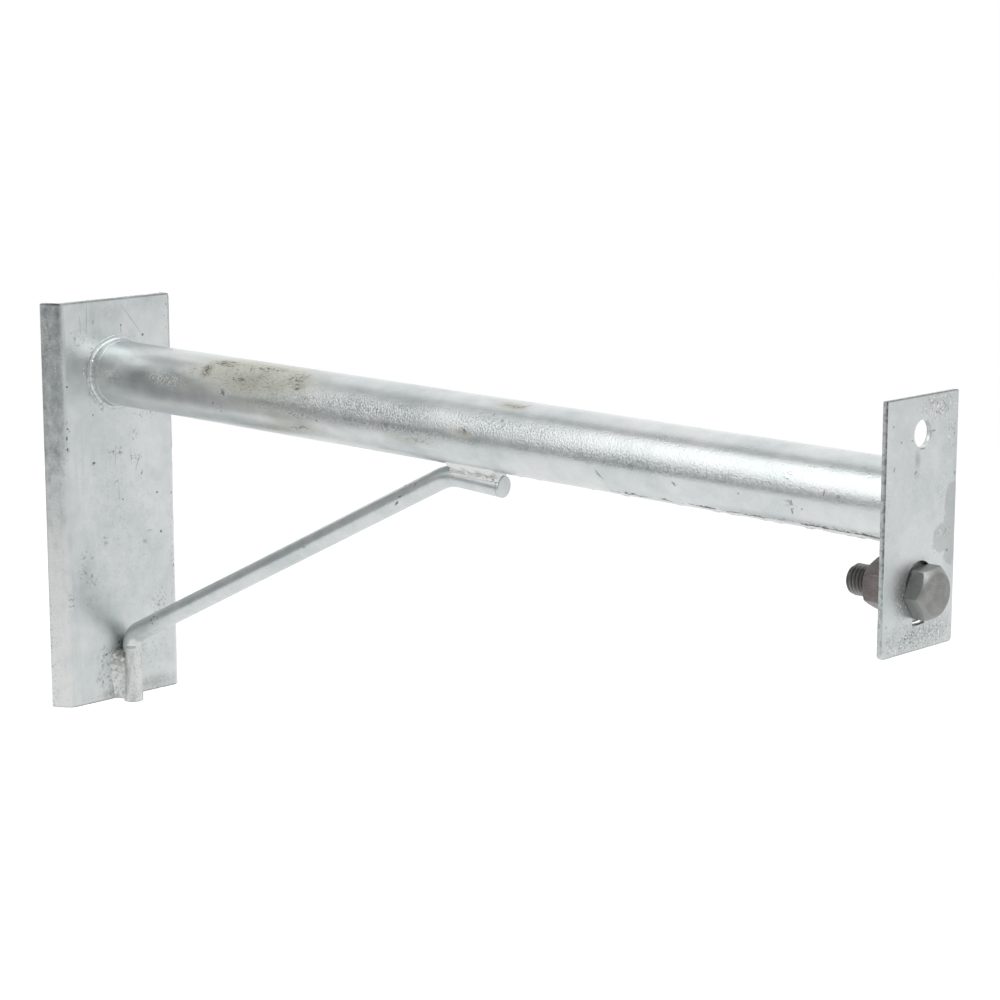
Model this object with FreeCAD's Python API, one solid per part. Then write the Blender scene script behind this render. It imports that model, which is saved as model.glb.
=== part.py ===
"""A welded and galvanised steel arm that holds a cable clamp away from a pole.

Millimetres. The origin is on the face that sits against the pole, on the axis of the arm's
pipe. +X runs out along the arm, +Z is up, and +Y is to the left of someone who looks out
along the arm from the pole.
"""
import FreeCAD, Part
import math
import os

from FreeCAD import Vector

# Pole plate: its two long edges are folded back towards the pole
plate_thickness = 6.35
web_width = 101.6            # flat part, between the outer corners of the folds
plate_height = 304.8
plate_top = 55.2             # top edge above the pipe's axis
wing_length = 16.0           # from the fold's outer corner to the cut edge
wing_fold = 60.0             # degrees that each wing is turned back from flat
fold_inside_radius = 1.2
wing_end_radius = 0.8        # eased corners at the four ends of the wings

# Pipe
pipe_diameter = 48.26
pipe_wall = 3.7
reach = 739.0                # from the pole's face to the front of the end plate

# End plate
end_thickness = 3.4
end_width = 66.4
end_top = 61.6               # above the pipe's axis
end_bottom = -84.4
end_top_radius = 0.8
end_bottom_radius = 2.6

# Holes in the end plate: a round one above the pipe, and a keyhole below it
round_hole_diameter = 15.9
round_hole_z = 40.1
keyhole_width = 24.5
keyhole_y = 0.9
keyhole_high_z = -45.0       # centre of the keyhole's upper half round
keyhole_low_z = -51.0        # centre of its lower half round
slot_width = 11.2
slot_bottom_z = -69.3

# Bolt, nut and washers
bolt_diameter = 18.8         # over the crests of a 3/4 inch thread
bolt_length = 46.8           # under the head
bolt_y = 2.1
bolt_z = -50.2
bolt_tip_chamfer = 1.9
head_across_flats = 28.575
head_height = 11.6
head_turn = 5.3              # degrees from level to the head's first corner
nut_across_flats = 27.0
nut_height = 18.6
nut_turn = 31.0
nut_countersink = 1.3
washer_diameter = 37.3       # plain washer behind the plate, seen through the keyhole
washer_hole = 20.6
washer_thickness = 4.3
spring_washer_diameter = 32.2
spring_washer_hole = 19.6
spring_washer_thickness = 4.8
spring_washer_slit = 1.2
slit_slant = 30.0            # degrees between the slit and the bolt's axis
hexagon_chamfer = 30.0       # degrees between a hexagon's flat end and its chamfer
hexagon_face_margin = 0.3    # from a hexagon's flats to the rim of its flat end

# Brace: a round bar in the plane y = brace_y, with two bends
rod_diameter = 14.6
brace_y = 1.0
foot_gap = 0.8               # root gap between the bar and the pole plate
foot_overhang = 1.8          # the bar's end below the plate's lower edge
foot_leg = 50.9              # from the bar's lower end to the corner of its lower bend
foot_bend_radius = 16.0      # on the bar's centre line
top_corner_x = 360.5         # corner of the upper bend, from the pole's face
top_leg = 49.1               # from that corner to the bar's cut end
top_droop = 1.5              # degrees that the upper leg falls away from the pipe
top_gap = 0.4                # between the pipe and the bar at that corner
top_bend_radius = 45.0

# Weld beads
pole_ring_on_plate = 4.0
pole_ring_on_pipe = 6.5
end_ring_leg = 4.0
foot_weld_near = 7.0         # width on the plate, past the bar's side, on the -Y side
foot_weld_far = 3.5
foot_weld_length = 38.0      # up from the plate's lower edge
top_weld_near = 9.5          # half width at the pipe, on the -Y side
top_weld_far = 7.5
top_weld_start = 1.5         # past the bar's upper corner
weld_toe_depth = 0.7         # how far inside the bar the faces of its upper bead aim

pipe_radius = pipe_diameter / 2
rod_radius = rod_diameter / 2
bolt_radius = bolt_diameter / 2
web_face = plate_thickness
plate_bottom = plate_top - plate_height
end_back = reach - end_thickness
along_arm = Vector(1, 0, 0)


def direction(degrees):
    """A unit vector in a plane, as a pair."""
    return math.cos(math.radians(degrees)), math.sin(math.radians(degrees))


def polygon(points):
    """A closed wire through the points."""
    corners = [Vector(*point) for point in points]
    return Part.makePolygon(corners + corners[:1])


def turned(profile, y, z):
    """A body turned about an axis along X, from pairs of place along it and radius."""
    wire = polygon([(x, y, z + radius) for x, radius in profile])
    return Part.Face(wire).revolve(Vector(0, y, z), along_arm, 360)


def cylinder(radius, x_start, length, y=0.0, z=0.0):
    """A round bar along X."""
    return Part.makeCylinder(radius, length, Vector(x_start, y, z), along_arm)


def wing_section():
    """Corners of one wing's section: outer fold, outer end, inner end, inner fold."""
    back_x, back_y = direction(90 + wing_fold)
    outer_fold = (web_face, web_width / 2)
    outer_end = (outer_fold[0] + wing_length * back_x, outer_fold[1] + wing_length * back_y)
    inner_end = (outer_end[0] - plate_thickness * back_y, outer_end[1] + plate_thickness * back_x)
    inner_fold_y = outer_fold[1] - plate_thickness * math.tan(math.radians(wing_fold / 2))
    return [outer_fold, outer_end, inner_end, (0.0, inner_fold_y)]


def edges_at(shape, x, y):
    """The edges whose middle lies at (x, y) seen from above, on either side of the plate."""
    found = []
    for edge in shape.Edges:
        middle = edge.BoundBox.Center
        if math.hypot(middle.x - x, abs(middle.y) - y) < 0.01:
            found.append(edge)
    return found


def make_pole_plate():
    """One plate with both folds, which have their true radii inside and outside."""
    section = wing_section()
    outer_fold, outer_end, inner_end, inner_fold = section
    mirrored = [(x, -y) for x, y in reversed(section)]
    wire = polygon([(x, y, plate_bottom) for x, y in section + mirrored])
    plate = Part.Face(wire).extrude(Vector(0, 0, plate_height))
    plate = plate.makeFillet(fold_inside_radius + plate_thickness, edges_at(plate, *outer_fold))
    plate = plate.makeFillet(fold_inside_radius, edges_at(plate, *inner_fold))
    end_middle = [(outer + inner) / 2 for outer, inner in zip(outer_end, inner_end)]
    return plate.makeFillet(wing_end_radius, edges_at(plate, *end_middle))


def make_arm_tube():
    """The pipe between the two plates."""
    length = end_back - web_face
    outside = cylinder(pipe_radius, web_face, length)
    return outside.cut(cylinder(pipe_radius - pipe_wall, web_face, length))


def corner_edges(plate, y_side, z):
    """The end plate's short edge at one corner."""
    found = []
    for edge in plate.Edges:
        middle = edge.BoundBox.Center
        if math.hypot(middle.y - y_side * end_width / 2, middle.z - z) < 0.01:
            found.append(edge)
    return found


def make_end_blank():
    """The end plate before its holes: a rectangle with eased corners."""
    corner = Vector(end_back, -end_width / 2, end_bottom)
    blank = Part.makeBox(end_thickness, end_width, end_top - end_bottom, corner)
    for z, radius in ((end_top, end_top_radius), (end_bottom, end_bottom_radius)):
        for y_side in (-1, 1):
            blank = blank.makeFillet(radius, corner_edges(blank, y_side, z))
    return blank


def make_keyhole():
    """The body cut out of the end plate: a long round-ended hole with a square slot below."""
    half = keyhole_width / 2
    rise = keyhole_high_z - keyhole_low_z
    drop = keyhole_low_z - slot_bottom_z
    high = cylinder(half, end_back, end_thickness, keyhole_y, keyhole_high_z)
    low = cylinder(half, end_back, end_thickness, keyhole_y, keyhole_low_z)
    between = Part.makeBox(end_thickness, keyhole_width, rise,
                           Vector(end_back, keyhole_y - half, keyhole_low_z))
    slot = Part.makeBox(end_thickness, slot_width, drop,
                        Vector(end_back, keyhole_y - slot_width / 2, slot_bottom_z))
    return high.fuse([low, between, slot]).removeSplitter()


def make_end_plate():
    """The flat plate at the arm's outer end, with its two holes."""
    round_hole = cylinder(round_hole_diameter / 2, end_back, end_thickness, 0, round_hole_z)
    return make_end_blank().cut([round_hole, make_keyhole()])


def make_hexagon(x_start, across_flats, height, turn, both_ends):
    """A hexagonal bar on the bolt's axis, its corners trimmed by a turned chamfer."""
    corner_radius = across_flats / 2 / math.cos(math.radians(30))
    corners = []
    for number in range(6):
        across, up = direction(turn + 60 * number)
        corners.append((x_start, bolt_y + corner_radius * across, bolt_z + corner_radius * up))
    bar = Part.Face(polygon(corners)).extrude(along_arm * height)
    wide = corner_radius + 1
    face_radius = across_flats / 2 - hexagon_face_margin
    drop = (wide - face_radius) * math.tan(math.radians(hexagon_chamfer))
    profile = [(x_start + height - drop, wide), (x_start + height, face_radius), (x_start + height, 0)]
    if both_ends:
        profile = [(x_start, 0), (x_start, face_radius), (x_start + drop, wide)] + profile
    else:
        profile = [(x_start, 0), (x_start, wide)] + profile
    return bar.common(turned(profile, bolt_y, bolt_z))


def make_clamp_bolt():
    """The bolt: its head on the end plate's front, its threaded end behind the plate."""
    head = make_hexagon(reach, head_across_flats, head_height, head_turn, False)
    tip_x = reach - bolt_length
    profile = [
        (tip_x, 0),
        (tip_x, bolt_radius - bolt_tip_chamfer),
        (tip_x + bolt_tip_chamfer, bolt_radius),
        (reach, bolt_radius),
        (reach, 0),
    ]
    return turned(profile, bolt_y, bolt_z).fuse(head).removeSplitter()


def make_washer(x_start, outside_diameter, hole_diameter, thickness):
    """A flat ring on the bolt's axis."""
    disc = cylinder(outside_diameter / 2, x_start, thickness, bolt_y, bolt_z)
    return disc.cut(cylinder(hole_diameter / 2, x_start, thickness, bolt_y, bolt_z))


def make_clamp_washer():
    """The plain washer against the end plate's back."""
    return make_washer(end_back - washer_thickness, washer_diameter, washer_hole, washer_thickness)


def make_spring_washer():
    """The split washer between the nut and the plain washer, pressed flat."""
    start = end_back - washer_thickness - spring_washer_thickness
    ring = make_washer(start, spring_washer_diameter, spring_washer_hole, spring_washer_thickness)
    middle = Vector(start + spring_washer_thickness / 2, bolt_y, bolt_z)
    length, height = 4 * spring_washer_thickness, spring_washer_diameter
    slit = Part.makeBox(length, spring_washer_slit, height,
                        middle - Vector(length, spring_washer_slit, 0) / 2)
    slit.rotate(middle, Vector(0, 0, 1), slit_slant)
    return ring.cut(slit)


def make_clamp_nut():
    """The nut on the bolt's thread, with its bore the size of the bolt."""
    back = end_back - washer_thickness - spring_washer_thickness - nut_height
    front = back + nut_height
    body = make_hexagon(back, nut_across_flats, nut_height, nut_turn, True)
    wide = bolt_radius + nut_countersink
    profile = [
        (back, 0),
        (back, wide),
        (back + nut_countersink, bolt_radius),
        (front - nut_countersink, bolt_radius),
        (front, wide),
        (front, 0),
    ]
    return body.cut(turned(profile, bolt_y, bolt_z))


def brace_corners():
    """The bar's centre line: lower end, lower corner, upper corner, cut end."""
    foot_x = web_face + foot_gap + rod_radius
    foot_end_z = plate_bottom - foot_overhang
    top_z = -pipe_radius - top_gap - rod_radius
    along, fall = direction(-top_droop)
    return [
        Vector(foot_x, brace_y, foot_end_z),
        Vector(foot_x, brace_y, foot_end_z + foot_leg),
        Vector(top_corner_x, brace_y, top_z),
        Vector(top_corner_x + top_leg * along, brace_y, top_z + top_leg * fall),
    ]


def bent_wire(points, radii):
    """Straight runs joined by tangent arcs of the given radii."""
    edges = []
    start = points[0]
    for before, corner, after, radius in zip(points, points[1:], points[2:], radii):
        inward = (before - corner).normalize()
        outward = (after - corner).normalize()
        half_angle = inward.getAngle(outward) / 2
        setback = radius / math.tan(half_angle)
        middle_line = (inward + outward).normalize()
        arc_middle = corner + middle_line * (radius / math.sin(half_angle) - radius)
        arc_start = corner + inward * setback
        arc_end = corner + outward * setback
        edges.append(Part.LineSegment(start, arc_start).toShape())
        edges.append(Part.Arc(arc_start, arc_middle, arc_end).toShape())
        start = arc_end
    edges.append(Part.LineSegment(start, points[-1]).toShape())
    return Part.Wire(edges)


def make_brace_rod():
    """The bent round bar."""
    corners = brace_corners()
    path = bent_wire(corners, [foot_bend_radius, top_bend_radius])
    section = Part.Wire(Part.makeCircle(rod_radius, corners[0], Vector(0, 0, 1)))
    return path.makePipeShell([section], True, False)


def make_ring_weld(x_plate, leg_on_plate, leg_on_pipe):
    """A bead round the pipe at a plate; a negative leg on the pipe runs back towards the pole."""
    profile = [
        (x_plate, pipe_radius),
        (x_plate, pipe_radius + leg_on_plate),
        (x_plate + leg_on_pipe, pipe_radius),
    ]
    return turned(profile, 0, 0)


def make_brace_foot_weld(brace_rod):
    """Beads on both sides of the bar's lower leg, joined through the root gap."""
    rod_x = brace_corners()[0].x
    wire = polygon([
        (web_face, brace_y - rod_radius - foot_weld_near, plate_bottom),
        (rod_x, brace_y - rod_radius, plate_bottom),
        (rod_x, brace_y + rod_radius, plate_bottom),
        (web_face, brace_y + rod_radius + foot_weld_far, plate_bottom),
    ])
    bead = Part.Face(wire).extrude(Vector(0, 0, foot_weld_length))
    return bead.cut(brace_rod)


def make_brace_top_weld(brace_rod):
    """Beads on both sides of the bar's upper leg, joined through the gap under the pipe."""
    top_corner = brace_corners()[2]
    start_x = top_corner.x + top_weld_start
    end_x = brace_rod.BoundBox.XMax
    toe = rod_radius - weld_toe_depth
    inside_pipe_z = -pipe_radius + pipe_wall
    wire = polygon([
        (start_x, brace_y - toe, top_corner.z),
        (start_x, brace_y - top_weld_near, inside_pipe_z),
        (start_x, brace_y + top_weld_far, inside_pipe_z),
        (start_x, brace_y + toe, top_corner.z),
    ])
    bead = Part.Face(wire).extrude(along_arm * (end_x - start_x))
    solid_pipe = cylinder(pipe_radius, start_x, end_x - start_x)
    return bead.cut([solid_pipe, brace_rod])


def make_parts():
    """Every piece by its name."""
    brace_rod = make_brace_rod()
    return {
        "pole_plate": make_pole_plate(),
        "arm_tube": make_arm_tube(),
        "end_plate": make_end_plate(),
        "brace_rod": brace_rod,
        "clamp_bolt": make_clamp_bolt(),
        "clamp_nut": make_clamp_nut(),
        "clamp_washer": make_clamp_washer(),
        "clamp_spring_washer": make_spring_washer(),
        "pole_weld": make_ring_weld(web_face, pole_ring_on_plate, pole_ring_on_pipe),
        "end_weld": make_ring_weld(end_back, end_ring_leg, -end_ring_leg),
        "brace_foot_weld": make_brace_foot_weld(brace_rod),
        "brace_top_weld": make_brace_top_weld(brace_rod),
    }


os.makedirs("parts", exist_ok=True)
for name, shape in make_parts().items():
    solid = shape.Solids[0]
    print(name, len(shape.Solids), "solid, valid", solid.isValid(), round(solid.Volume, 1), "mm3")
    solid.exportStep(os.path.join("parts", name + ".step"))
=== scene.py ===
# %% [markdown]
# A galvanised arm that holds an optical cable away from a pole. A plate with two folded edges
# is banded to the pole, a length of pipe reaches out from it, and a bent bar braces the pipe
# from below. A flat plate at the outer end carries a bolt and nut for the cable's clamp.
# The arm's solids are loaded first: every piece made below takes its place and size from them.

# %% Load the solids of the arm
import bmesh
import bpy
import math
import random
from mathutils import Matrix, Vector, noise


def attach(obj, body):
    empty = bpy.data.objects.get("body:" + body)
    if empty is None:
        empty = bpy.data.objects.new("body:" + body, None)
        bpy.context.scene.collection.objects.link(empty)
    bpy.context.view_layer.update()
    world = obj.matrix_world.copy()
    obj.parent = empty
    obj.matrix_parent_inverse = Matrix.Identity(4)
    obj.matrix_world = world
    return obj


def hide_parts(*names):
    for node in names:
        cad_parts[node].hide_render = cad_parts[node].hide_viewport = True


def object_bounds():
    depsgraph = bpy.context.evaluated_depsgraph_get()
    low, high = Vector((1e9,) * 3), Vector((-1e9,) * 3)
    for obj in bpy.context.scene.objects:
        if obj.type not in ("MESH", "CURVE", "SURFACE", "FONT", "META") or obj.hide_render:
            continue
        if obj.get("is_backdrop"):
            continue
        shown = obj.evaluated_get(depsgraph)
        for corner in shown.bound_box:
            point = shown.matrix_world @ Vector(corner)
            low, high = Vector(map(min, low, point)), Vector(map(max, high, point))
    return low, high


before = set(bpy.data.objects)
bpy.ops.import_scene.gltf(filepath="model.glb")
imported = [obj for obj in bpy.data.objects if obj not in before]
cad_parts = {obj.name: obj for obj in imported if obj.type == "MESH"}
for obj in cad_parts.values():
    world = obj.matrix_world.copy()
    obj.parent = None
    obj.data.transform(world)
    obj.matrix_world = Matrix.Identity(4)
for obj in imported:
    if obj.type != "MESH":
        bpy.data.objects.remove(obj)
solid_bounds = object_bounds()
scene = bpy.context.scene
mm = 0.001
print("solids:", sorted(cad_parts))


# %% [markdown]
# The camera stands in front of the outer end, to its left, and looks a little down along the
# arm. A long lens keeps the near plate from growing too large against the far one. Its place
# was found by matching the corners of both plates and the edges of the pipe, so it is given
# as numbers and not aimed by hand.

# %% Camera
def place_camera(location, heading, dip, lens):
    """A camera that looks along a compass heading from +X and dips below the horizon."""
    forward = Vector((math.cos(heading) * math.cos(dip), math.sin(heading) * math.cos(dip),
                      -math.sin(dip)))
    data = bpy.data.cameras.new("camera")
    data.lens = lens
    data.sensor_width = 36
    data.clip_start = 0.05
    camera = bpy.data.objects.new("camera", data)
    camera.location = location
    camera.rotation_euler = forward.to_track_quat("-Z", "Y").to_euler()
    scene.collection.objects.link(camera)
    scene.camera = camera


place_camera(location=(1.61921, -1.22764, 0.29128), heading=math.radians(134.623),
             dip=math.radians(10.958), lens=97.69)
scene.view_settings.view_transform = "Standard"
print("camera at", [round(value, 3) for value in scene.camera.location])


# %% [markdown]
# Every finish below is a small calculation on the surface's own coordinates. Wiring such sums
# by hand hides what they mean, so one class wraps a socket and lets Python's operators add the
# Math nodes. All other nodes come from one method that takes a node's kind, its settings and
# the values or links of its inputs.

# %% Shader arithmetic
class Value:
    """One socket of a shader, usable in a Python expression."""

    def __init__(self, board, socket):
        self.board = board
        self.socket = socket

    def __add__(self, other):
        return self.board.math("ADD", self, other)

    def __sub__(self, other):
        return self.board.math("SUBTRACT", self, other)

    def __rsub__(self, other):
        return self.board.math("SUBTRACT", other, self)

    def __mul__(self, other):
        return self.board.math("MULTIPLY", self, other)

    __radd__ = __add__
    __rmul__ = __mul__


class Board:
    """A node tree, emptied, with short ways to add what a finish needs."""

    def __init__(self, owner):
        owner.use_nodes = True
        self.tree = owner.node_tree
        self.tree.nodes.clear()

    def node(self, kind, settings=None, inputs=None, output=0):
        """Adds a node; its inputs are numbers, colours or links, by name or by number."""
        made = self.tree.nodes.new("ShaderNode" + kind)
        for name, value in (settings or {}).items():
            setattr(made, name, value)
        for name, value in (inputs or {}).items():
            if isinstance(value, Value):
                self.tree.links.new(value.socket, made.inputs[name])
            else:
                made.inputs[name].default_value = value
        return Value(self, made.outputs[output]) if len(made.outputs) else made

    def math(self, operation, first, second=0.0):
        return self.node("Math", {"operation": operation}, {0: first, 1: second})

    def greater(self, first, *others):
        """The greatest of several values."""
        for other in others:
            first = self.math("MAXIMUM", first, other)
        return first

    def smooth(self, value, low, high):
        """Rises from 0 at low to 1 at high with soft ends."""
        settings = {"interpolation_type": "SMOOTHSTEP"}
        return self.node("MapRange", settings, {0: value, 1: low, 2: high})

    def blend(self, factor, first, second):
        """A colour between two colours."""
        return self.node("Mix", {"data_type": "RGBA"}, {0: factor, 6: first, 7: second}, 2)

    def parts(self, vector):
        """The X, Y and Z of a vector."""
        return [self.node("SeparateXYZ", None, {0: vector}, axis) for axis in range(3)]

    def surface(self, kind, inputs):
        """Ends the tree in a shader of that kind."""
        shader = self.node(kind, None, inputs)
        self.node("OutputMaterial", None, {0: shader})


def new_board(name, *objects, kind=Board):
    """The board of a new material that these objects wear."""
    material = bpy.data.materials.new(name)
    for wearer in objects:
        wearer.data.materials.append(material)
    return kind(material)


print("shader arithmetic ready")


# %% [markdown]
# Bare zinc has hardly any colour of its own: what is seen is the room reflected in it. The
# room here is a white studio with soft walls: brighter behind the arm on the left, dark on the
# camera's side, with a broad soft panel on the left. The dark side gives the pipe its long
# grey band. The camera itself sees the room as plain white.

# %% Studio walls
DARK_SIDE, LEFT_WALL, RIGHT_WALL, CEILING = 0.35, 1.35, 0.85, 0.95


def light_room():
    world = bpy.data.worlds.new("studio")
    scene.world = world
    board = Board(world)
    x, y, z = board.parts(board.node("TexCoord"))
    left = LEFT_WALL - 0.25 * board.smooth(z, 0.0, 0.4)
    right = board.smooth(x, -0.6, 0.5)
    behind = left * (1 - right) + RIGHT_WALL * right
    far_side = board.smooth(y, -0.12, 0.22)
    walls = DARK_SIDE * (1 - far_side) + behind * far_side
    ceiling = board.smooth(z, 0.82, 0.97)
    level = walls * (1 - ceiling) + CEILING * ceiling
    seen = board.node("LightPath", None, None, "Is Camera Ray")
    level = level * (1 - seen) + seen
    shader = board.node("Background", None, {0: level})
    board.node("OutputWorld", None, {0: shader})


light_room()
print("walls lit")


# %% [markdown]
# The floor lies well below the arm, as under a piece that hangs from a thread. It is matt
# white and takes the arm's shadow. A little light of its own, shown only to the camera and in
# reflections, brings it up to the white of the walls, so that no horizon shows.

# %% Floor
def add_object(name, shape):
    """Turns a finished shape into an object of the scene."""
    mesh = bpy.data.meshes.new(name)
    shape.to_mesh(mesh)
    shape.free()
    made = bpy.data.objects.new(name, mesh)
    scene.collection.objects.link(made)
    return made


def make_floor(height, radius):
    shape = bmesh.new()
    bmesh.ops.create_circle(shape, cap_ends=True, radius=radius, segments=96)
    bmesh.ops.translate(shape, verts=shape.verts, vec=(0.3, 0.0, height))
    floor = add_object("floor", shape)
    board = new_board("floor", floor)
    rays = [board.node("LightPath", None, None, "Is " + kind + " Ray")
            for kind in ("Camera", "Glossy", "Transmission")]
    seen = board.greater(*rays)
    glow = board.node("Emission", None, {"Strength": seen * 0.5})
    paint = board.node("BsdfDiffuse", None, {"Color": (0.8, 0.8, 0.8, 1.0)})
    both = board.node("AddShader", None, {0: glow, 1: paint})
    board.node("OutputMaterial", None, {0: both})
    floor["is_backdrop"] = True


make_floor(height=-1.05, radius=6.0)
print("floor laid")


# %% [markdown]
# Photographers light metal with cards: sheets that the camera doesn't see, but the metal
# reflects. A white card under the arm brightens the undersides, a grey one in front keeps
# them from going flat, and a tall soft panel draws the bright stripe along the pipe. The
# cards cast no shadow and light nothing except through reflections.

# %% Cards
def make_card(name, centre, width, height, turn, level):
    """A sheet that shows only in reflections; level makes its brightness from a board."""
    shape = bmesh.new()
    bmesh.ops.create_grid(shape, x_segments=1, y_segments=1, size=0.5)
    place = (Matrix.Translation(centre) @ Matrix.Rotation(turn, 4, "X")
             @ Matrix.Diagonal((width, height, 1.0, 1.0)))
    bmesh.ops.transform(shape, matrix=place, verts=shape.verts)
    card = add_object(name, shape)
    for kind in ("camera", "shadow", "diffuse", "transmission"):
        setattr(card, "visible_" + kind, False)
    board = new_board(name, card)
    board.surface("Emission", {"Strength": level(board)})
    card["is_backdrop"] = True


def soft_panel(board):
    """Brightest towards its lower right, and fading to the dark side at every edge."""
    x, y, z = board.parts(board.node("TexCoord", None, None, "Object"))
    along = board.smooth(x + 0.67 * z, -1.7, 0.0) * (1 - board.smooth(x, -0.4, 0.1))
    up = board.smooth(z, -0.3, 0.45) * (1 - board.smooth(z, 3.5, 7.5))
    return DARK_SIDE + 1.82 * along * up


make_card("table_card", (1.11, 0.2, -0.27), 2.58, 2.5, 0.0, lambda board: 1.05)
make_card("front_card", (0.0, -1.65, -0.28), 5.0, 3.7, 0.0, lambda board: DARK_SIDE)
make_card("soft_panel", (-2.6, -1.8, 3.4), 6.0, 7.4, math.radians(90), soft_panel)
print("cards placed")


# %% [markdown]
# Two soft box lamps finish the studio. One hangs over the arm and gives the floor its shadow.
# The other stands high behind the camera's right and draws the short highlight on the pipe
# close to the pole plate.

# %% Lamps
def make_lamp(name, location, target, width, height, watts):
    data = bpy.data.lights.new(name, "AREA")
    data.shape = "RECTANGLE"
    data.size = width
    data.size_y = height
    data.energy = watts
    lamp = bpy.data.objects.new(name, data)
    lamp.location = location
    aim = Vector(target) - Vector(location)
    lamp.rotation_euler = aim.to_track_quat("-Z", "Z").to_euler()
    scene.collection.objects.link(lamp)


make_lamp("top_lamp", (0.6, 0.8, 2.2), (0.3, 0.0, 0.0), width=1.6, height=1.0, watts=10)
make_lamp("right_lamp", (1.9, -0.1, 1.6), (0.0, 0.0, 0.0), width=1.5, height=1.1, watts=18)
print("lamps hung")


# %% [markdown]
# A sheared edge is never a perfect corner and a dipped surface is never perfectly flat. So
# every piece is made of small faces, whose points a helper moves along their normals by a
# smooth noise. The noise is a fixed function of place, so each run gives the same surface.
# Another helper puts a finished mesh in place of its solid and lets it ride on the arm.

# %% Helpers for every piece
SHARP_ANGLE = math.radians(38)


def wander(shape, amount, wave, shift, share=lambda place: 1.0):
    """Moves points by up to amount, in waves of that length; both are in millimetres."""
    shape.normal_update()
    for point in shape.verts:
        push = noise.noise(point.co / (wave * mm) + Vector((shift, shift, shift)))
        point.co += point.normal * (push * amount * mm * share(point.co))


def all_of(shape):
    """Every point, edge and face of a shape."""
    return shape.verts[:] + shape.edges[:] + shape.faces[:]


def cut_across(shape, axis, first, last, step):
    """Cuts the whole mesh by planes square to an axis, so that it can carry fine relief."""
    normal = Vector((0.0, 0.0, 0.0))
    normal[axis] = 1.0
    for number in range(int((last - first) / step) + 1):
        place = normal * ((first + number * step) * mm)
        bmesh.ops.bisect_plane(shape, geom=all_of(shape), dist=1e-7, plane_co=place,
                               plane_no=normal)


def soft_step(value, low, high):
    """0 below low, 1 above high, and smooth between."""
    part = min(1.0, max(0.0, (value - low) / (high - low)))
    return part * part * (3 - 2 * part)


def merge(whole, part):
    """Adds a finished shape to another one."""
    mesh = bpy.data.meshes.new("part")
    part.to_mesh(mesh)
    part.free()
    whole.from_mesh(mesh)
    bpy.data.meshes.remove(mesh)


pieces = {}


def make_piece(name, shape, node):
    """Closes the mesh, points its faces outwards and puts it in place of its solid."""
    bmesh.ops.remove_doubles(shape, verts=shape.verts, dist=2e-6)
    bmesh.ops.recalc_face_normals(shape, faces=shape.faces)
    piece = add_object(name, shape)
    for polygon in piece.data.polygons:
        polygon.use_smooth = True
    piece.data.set_sharp_from_angle(angle=SHARP_ANGLE)
    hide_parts(node)
    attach(piece, "root")
    pieces[node] = piece
    print(name, len(piece.data.polygons), "faces")


# %% [markdown]
# The pole plate is a flat bar, a quarter inch thick, whose two long edges are folded back so
# that it sits astride the pole. It could be a bevelled box bent by a modifier, but its
# section never changes along its height. So the section is drawn once, its corners are
# rounded to the radii of the fold, and it is swept up the pole in small steps.

# %% Section of the pole plate
PLATE_THICKNESS = 6.35
WEB_HALF_WIDTH = 50.8
WING_LENGTH = 16.0
FOLD = math.radians(60)
INNER_FOLD_RADIUS = 1.2
OUTER_FOLD_RADIUS = INNER_FOLD_RADIUS + PLATE_THICKNESS
WING_END_RADIUS = 0.8
PLATE_LOW, PLATE_HIGH = -249.6, 55.2


def round_corners(shape, corners, radius, turn, segments):
    """Rounds corners of a flat face where its outline turns by that angle."""
    reach = radius * math.tan(turn / 2) * mm
    bmesh.ops.bevel(shape, geom=corners, offset=reach, offset_type="OFFSET", segments=segments,
                    profile=0.5, affect="VERTICES", material=-1, clamp_overlap=False)


def draw_section():
    """The plate's section at its lower edge, with both folds."""
    back = Vector((-math.sin(FOLD), math.cos(FOLD), 0.0))
    outer_fold = Vector((PLATE_THICKNESS, WEB_HALF_WIDTH, PLATE_LOW))
    outer_end = outer_fold + back * WING_LENGTH
    inner_end = outer_end - PLATE_THICKNESS * Vector((back.y, -back.x, 0.0))
    inner_fold = Vector((0.0, WEB_HALF_WIDTH - PLATE_THICKNESS * math.tan(FOLD / 2), PLATE_LOW))
    half = [outer_fold, outer_end, inner_end, inner_fold]
    other_half = [Vector((place.x, -place.y, place.z)) for place in reversed(half)]
    shape = bmesh.new()
    corners = [shape.verts.new(place * mm) for place in half + other_half]
    shape.faces.new(corners)
    round_corners(shape, [corners[0], corners[7]], OUTER_FOLD_RADIUS, FOLD, 7)
    round_corners(shape, [corners[3], corners[4]], INNER_FOLD_RADIUS, FOLD, 3)
    ends = [corners[1], corners[2], corners[5], corners[6]]
    round_corners(shape, ends, WING_END_RADIUS, math.radians(90), 3)
    cut_across(shape, 1, -58.0, 58.0, 1.45)
    return shape


plate_shape = draw_section()
print("section has", len(plate_shape.verts), "points")


# %% Sweep the pole plate
PLATE_EDGE = 0.35
PLATE_STEPS = 203
TEAR_DEPTH = 0.38
WING_SLANT = 3.4


def sweep(shape, geometry, distance, steps):
    """Carries faces, an outline or a single point along a straight line."""
    return bmesh.ops.spin(shape, geom=geometry, angle=0.0, steps=steps, axis=(0, 0, 1),
                          cent=(0, 0, 0), dvec=distance * (mm / steps))["geom_last"]


def ease_edges(shape, edges, radius, segments=2):
    """Takes the sharpness off edges."""
    bmesh.ops.bevel(shape, geom=edges, offset=radius * mm, offset_type="OFFSET",
                    segments=segments, profile=0.5, affect="EDGES", material=-1,
                    clamp_overlap=False)


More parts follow.
